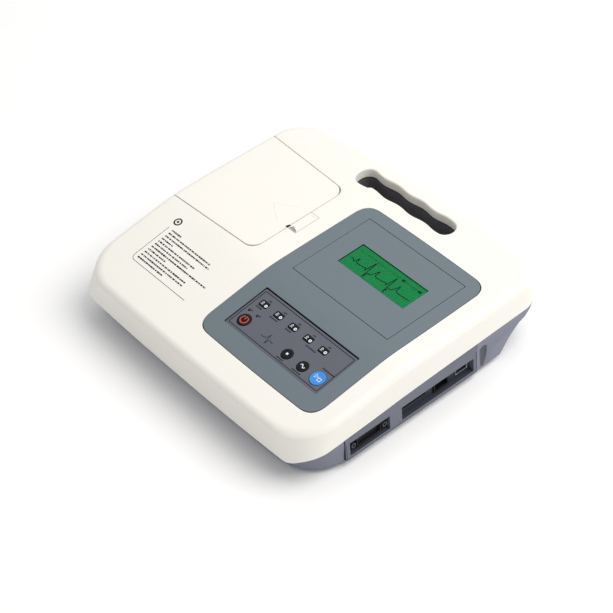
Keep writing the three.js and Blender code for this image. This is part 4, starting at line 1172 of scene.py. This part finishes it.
def base_shell():
    piece = refine("base_shell", "case", GREY, edge=0.3, weighted=False)
    # Painted shade: the hand slot's inner walls are painted dark grey.
    paint(piece, SLOT_WALL_SHADE, lambda p, n: in_slot(p) and (p.z > -14 or p.z > -61 and abs(n.z) < 0.7))

    def rim(p, n):
        gap = min(abs(p.y - PLATE_FRONT), abs(p.y - PLATE_BACK), abs(p.z - PLATE_FOOT))
        return p.x > 83 and abs(n.x) < 0.5 and gap < 0.1

    def scoop(p, n):
        upright, cone = abs(n.z) < 0.001, p.z > -38 and n.z < -0.3
        near = (p.xy - SCOOP_CENTRE).length < 6.7
        return near and (upright or cone) and n.x > -0.2 and -61.2 < p.z < -33.8

    # Painted shade: the walls of the opening round the connector plate are painted dark.
    paint(piece, SEAM_SHADE_GREY, rim)
    # Painted shade: the scooped recess is painted darker.
    paint(piece, SCOOP_SHADE, scoop)


def side_plate():
    piece = refine("side_plate", "case", PLATE_GREY, edge=0.35, join=False)

    def back_wall(p, n):
        return p.x < PLATE_FACE - 1 and n.x > 0.5 and -57.7 < p.z < -42.7

    def rim(p, n):
        return abs(n.x) < 0.5 and (p.z < -60.9 or p.y < -120.1 or p.y > 24.1)

    def ledge(p, n):
        return p.x < PLATE_FACE - 0.4 and n.z > 0.5 and -58 < p.z < -56.8

    # Painted shade: the floors of the port recesses are painted dark grey.
    paint(piece, LEDGE_SHADE_GREY, ledge)
    # Painted shade: the back walls of the port recesses are painted near black.
    paint(piece, RECESS_SHADE_GREY, back_wall)
    # Painted shade: the connector plate's edge faces are painted dark.
    paint(piece, SEAM_SHADE_GREY, rim)
    # Painted shade: a thin black line inset along the plate's front, lower and back edges stands for the
    # shaded lip round it.
    line = vectors((-119, -43.5), (-119, -59.9), (23.1, -59.9), (23.1, -37))

    def on_plate(y, z, lift):
        return Vector((PLATE_FACE + lift, y, z))

    draw("plate_groove", "case", PAINTED_GAP_SHADE, [ribbon(spread(line, 6, closed=False), 0.4, on_plate, 0.02)])


def coil(name, node):
    """An upright compression spring wound in the room of its CAD rod."""
    lo, hi = node_box(node)
    turns, per_turn, wire, sides = 6, 24, 0.28, 8
    middle = (lo + hi) / 2
    radius = min(hi.x - lo.x, hi.y - lo.y) / 2 - wire - 0.02
    steps = turns * per_turn
    points, faces = [], []
    for i in range(steps + 1):
        turn = 2 * math.pi * i / per_turn
        at = lerp(lo.z + wire, hi.z - wire, i / steps)
        for k in range(sides):
            b = 2 * math.pi * k / sides
            r = radius + wire * math.cos(b)
            x, y = middle.x + r * math.cos(turn), middle.y + r * math.sin(turn)
            points.append((x, y, at + wire * math.sin(b)))
    for i in range(steps):
        for k in range(sides):
            j = (k + 1) % sides
            faces.append((i * sides + k, i * sides + j, (i + 1) * sides + j, (i + 1) * sides + k))
    faces.append(tuple(range(sides)))
    faces.append(tuple(range(steps * sides, (steps + 1) * sides)))
    return dress(make_mesh(name, points, faces, "case", node, sharp=60), STEEL)


def latch_coil():
    """The spring under the latch, on a mesh of its own."""
    spring = coil("latch_coil", "latch_spring")
    lo, hi = node_box("latch_spring")
    foot = metres(((lo.x + hi.x) / 2, (lo.y + hi.y) / 2, lo.z))
    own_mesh(spring)


def round_profile(y0, y1, inner, outer, edge):
    """The closed section of a tube with rounded outer edges."""
    turns = (0, 0.5, 1.05, math.pi / 2)
    low = [(y0 + edge * (1 - math.sin(a)), outer - edge * (1 - math.cos(a))) for a in turns[::-1]]
    high = [(y1 - edge * (1 - math.sin(a)), outer - edge * (1 - math.cos(a))) for a in turns]
    return [(y0, inner), *low, *high, (y1, inner)]


CORE_BORE = 6.05


def paper():
    lo, hi = node_box("paper_roll")
    centre = ((lo.x + hi.x) / 2, (lo.z + hi.z) / 2)
    radius = (hi.x - lo.x) / 2
    core_lo, core_hi = node_box("paper_core")
    core = (core_hi.x - core_lo.x) / 2
    roll = round_profile(lo.y, hi.y, core + GAP, radius, 0.3)
    dress(lathe("roll_of_paper", "roll", "paper_roll", centre, roll), PAPER)
    tube = round_profile(core_lo.y, core_hi.y, CORE_BORE, core, 0.2)
    dress(lathe("card_tube", "roll", "paper_core", centre, tube), CARD)


OTHERS = {
    "door_latch": ("latch", WHITE, 0.3),
    "battery_cover": ("case", GREY, 0.3),
    "paper_tray": ("case", NYLON, 0.25),
    "printer_frame": ("case", STEEL, 0.15),
    "print_head": ("head", ALUMINIUM, 0.15),
    "platen_roller": ("platen", RUBBER, 0.2),
    "platen_shaft": ("platen", STEEL, 0.1),
    "platen_gear": ("platen", NYLON, 0.06),
    "idler_gear": ("idler", NYLON, 0.06),
    "motor_pinion": ("pinion", STEEL, 0.05),
    "drive_motor": ("case", STEEL, 0.3),
    "roll_holder_front": ("case", NYLON, 0.25),
    "roll_holder_back": ("case", NYLON, 0.25),
    "keypad_board": ("case", BOARD, 0.08),
    "main_board": ("case", BOARD, 0.08),
    "power_board": ("case", TAN, 0.08),
    "battery_pack": ("case", WRAP, 0.5),
    "speaker": ("case", DARK, 0.2),
    "lead_socket": ("case", DARK, 0.15),
    "card_socket": ("case", DARK, 0.12),
    "network_socket": ("case", DARK, 0.15),
    "usb_socket": ("case", STEEL, 0.1),
    "mains_inlet": ("case", DARK, 0.2),
    "ground_post": ("case", GOLD, 0.12),
}


def other_parts():
    for node, (body, mat, edge) in OTHERS.items():
        refine(node, body, mat, edge)
    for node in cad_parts:
        if node.startswith("foot_"):
            refine(node, "case", RUBBER, 0.35)
        elif node.startswith(("case_screw", "hinge_pin")):
            refine(node, "case", STEEL, 0.08)
        elif node.startswith("jack_screw"):
            # Painted shade: the jack screws use the darkened steel.
            refine(node, "case", SHADED_STEEL, 0.12)


base_shell()
side_plate()
latch_coil()
coil("head_coil", "head_spring")
paper()
other_parts()


# ---------------------------------------------------------------- camera, light and floor

CAMERA_AT = Vector((929.83, -776.91, 1135.71))
VIEW_AZIMUTH, VIEW_ELEVATION, VIEW_ROLL = 53.024, 43.844, -5.002
SENSOR, FOCAL = 36, 117.45514


def make_camera():
    a, e, r = (math.radians(v) for v in (VIEW_AZIMUTH, VIEW_ELEVATION, VIEW_ROLL))
    back = Vector((math.sin(a) * math.cos(e), -math.cos(a) * math.cos(e), math.sin(e)))
    right = (-back).cross(Vector((0, 0, 1))).normalized()
    up = back.cross(right)
    x_axis = right * math.cos(r) + up * math.sin(r)
    y_axis = up * math.cos(r) - right * math.sin(r)
    data = bpy.data.cameras.new("camera")
    data.lens = FOCAL
    data.sensor_width = SENSOR
    data.clip_end = 20
    camera = bpy.data.objects.new("camera", data)
    turn = Matrix((x_axis, y_axis, back)).transposed().to_4x4()
    camera.matrix_world = Matrix.Translation(metres(CAMERA_AT)) @ turn
    bpy.context.scene.collection.objects.link(camera)
    bpy.context.scene.camera = camera


def area_light(name, at, aim, size, power, color=(1, 1, 1)):
    data = bpy.data.lights.new(name, "AREA")
    data.shape = "DISK"
    data.size = size
    data.energy = power
    data.color = color
    lamp = bpy.data.objects.new(name, data)
    lamp.location = at
    lamp.rotation_euler = (Vector(aim) - Vector(at)).to_track_quat("-Z", "Y").to_euler()
    bpy.context.scene.collection.objects.link(lamp)


WORLD_STRENGTH = 0.57


def make_stage():
    world = bpy.data.worlds.new("studio")
    world.use_nodes = True
    back = world.node_tree.nodes["Background"]
    back.inputs["Color"].default_value = (1, 1, 1, 1)
    back.inputs["Strength"].default_value = WORLD_STRENGTH
    bpy.context.scene.world = world
    area_light("key_light", (0.9, 0.75, 1.7), (0, 0, 0), 1.7, 30, (1, 0.985, 0.96))
    area_light("fill_light", (-0.7, 0.9, 1.6), (0, 0, 0), 1.3, 5)
    bpy.ops.mesh.primitive_plane_add(size=12, location=(0, 0, 0))
    floor = bpy.context.object
    floor.name = "floor"
    paint = bpy.data.materials.new("floor_paint")
    paint.use_nodes = True
    paint.node_tree.nodes["Principled BSDF"].inputs["Base Color"].default_value = (0.96, 0.96, 0.96, 1)
    paint.node_tree.nodes["Principled BSDF"].inputs["Roughness"].default_value = 0.9
    floor.data.materials.append(paint)
    bpy.context.scene.view_settings.view_transform = "Standard"


make_camera()
make_stage()
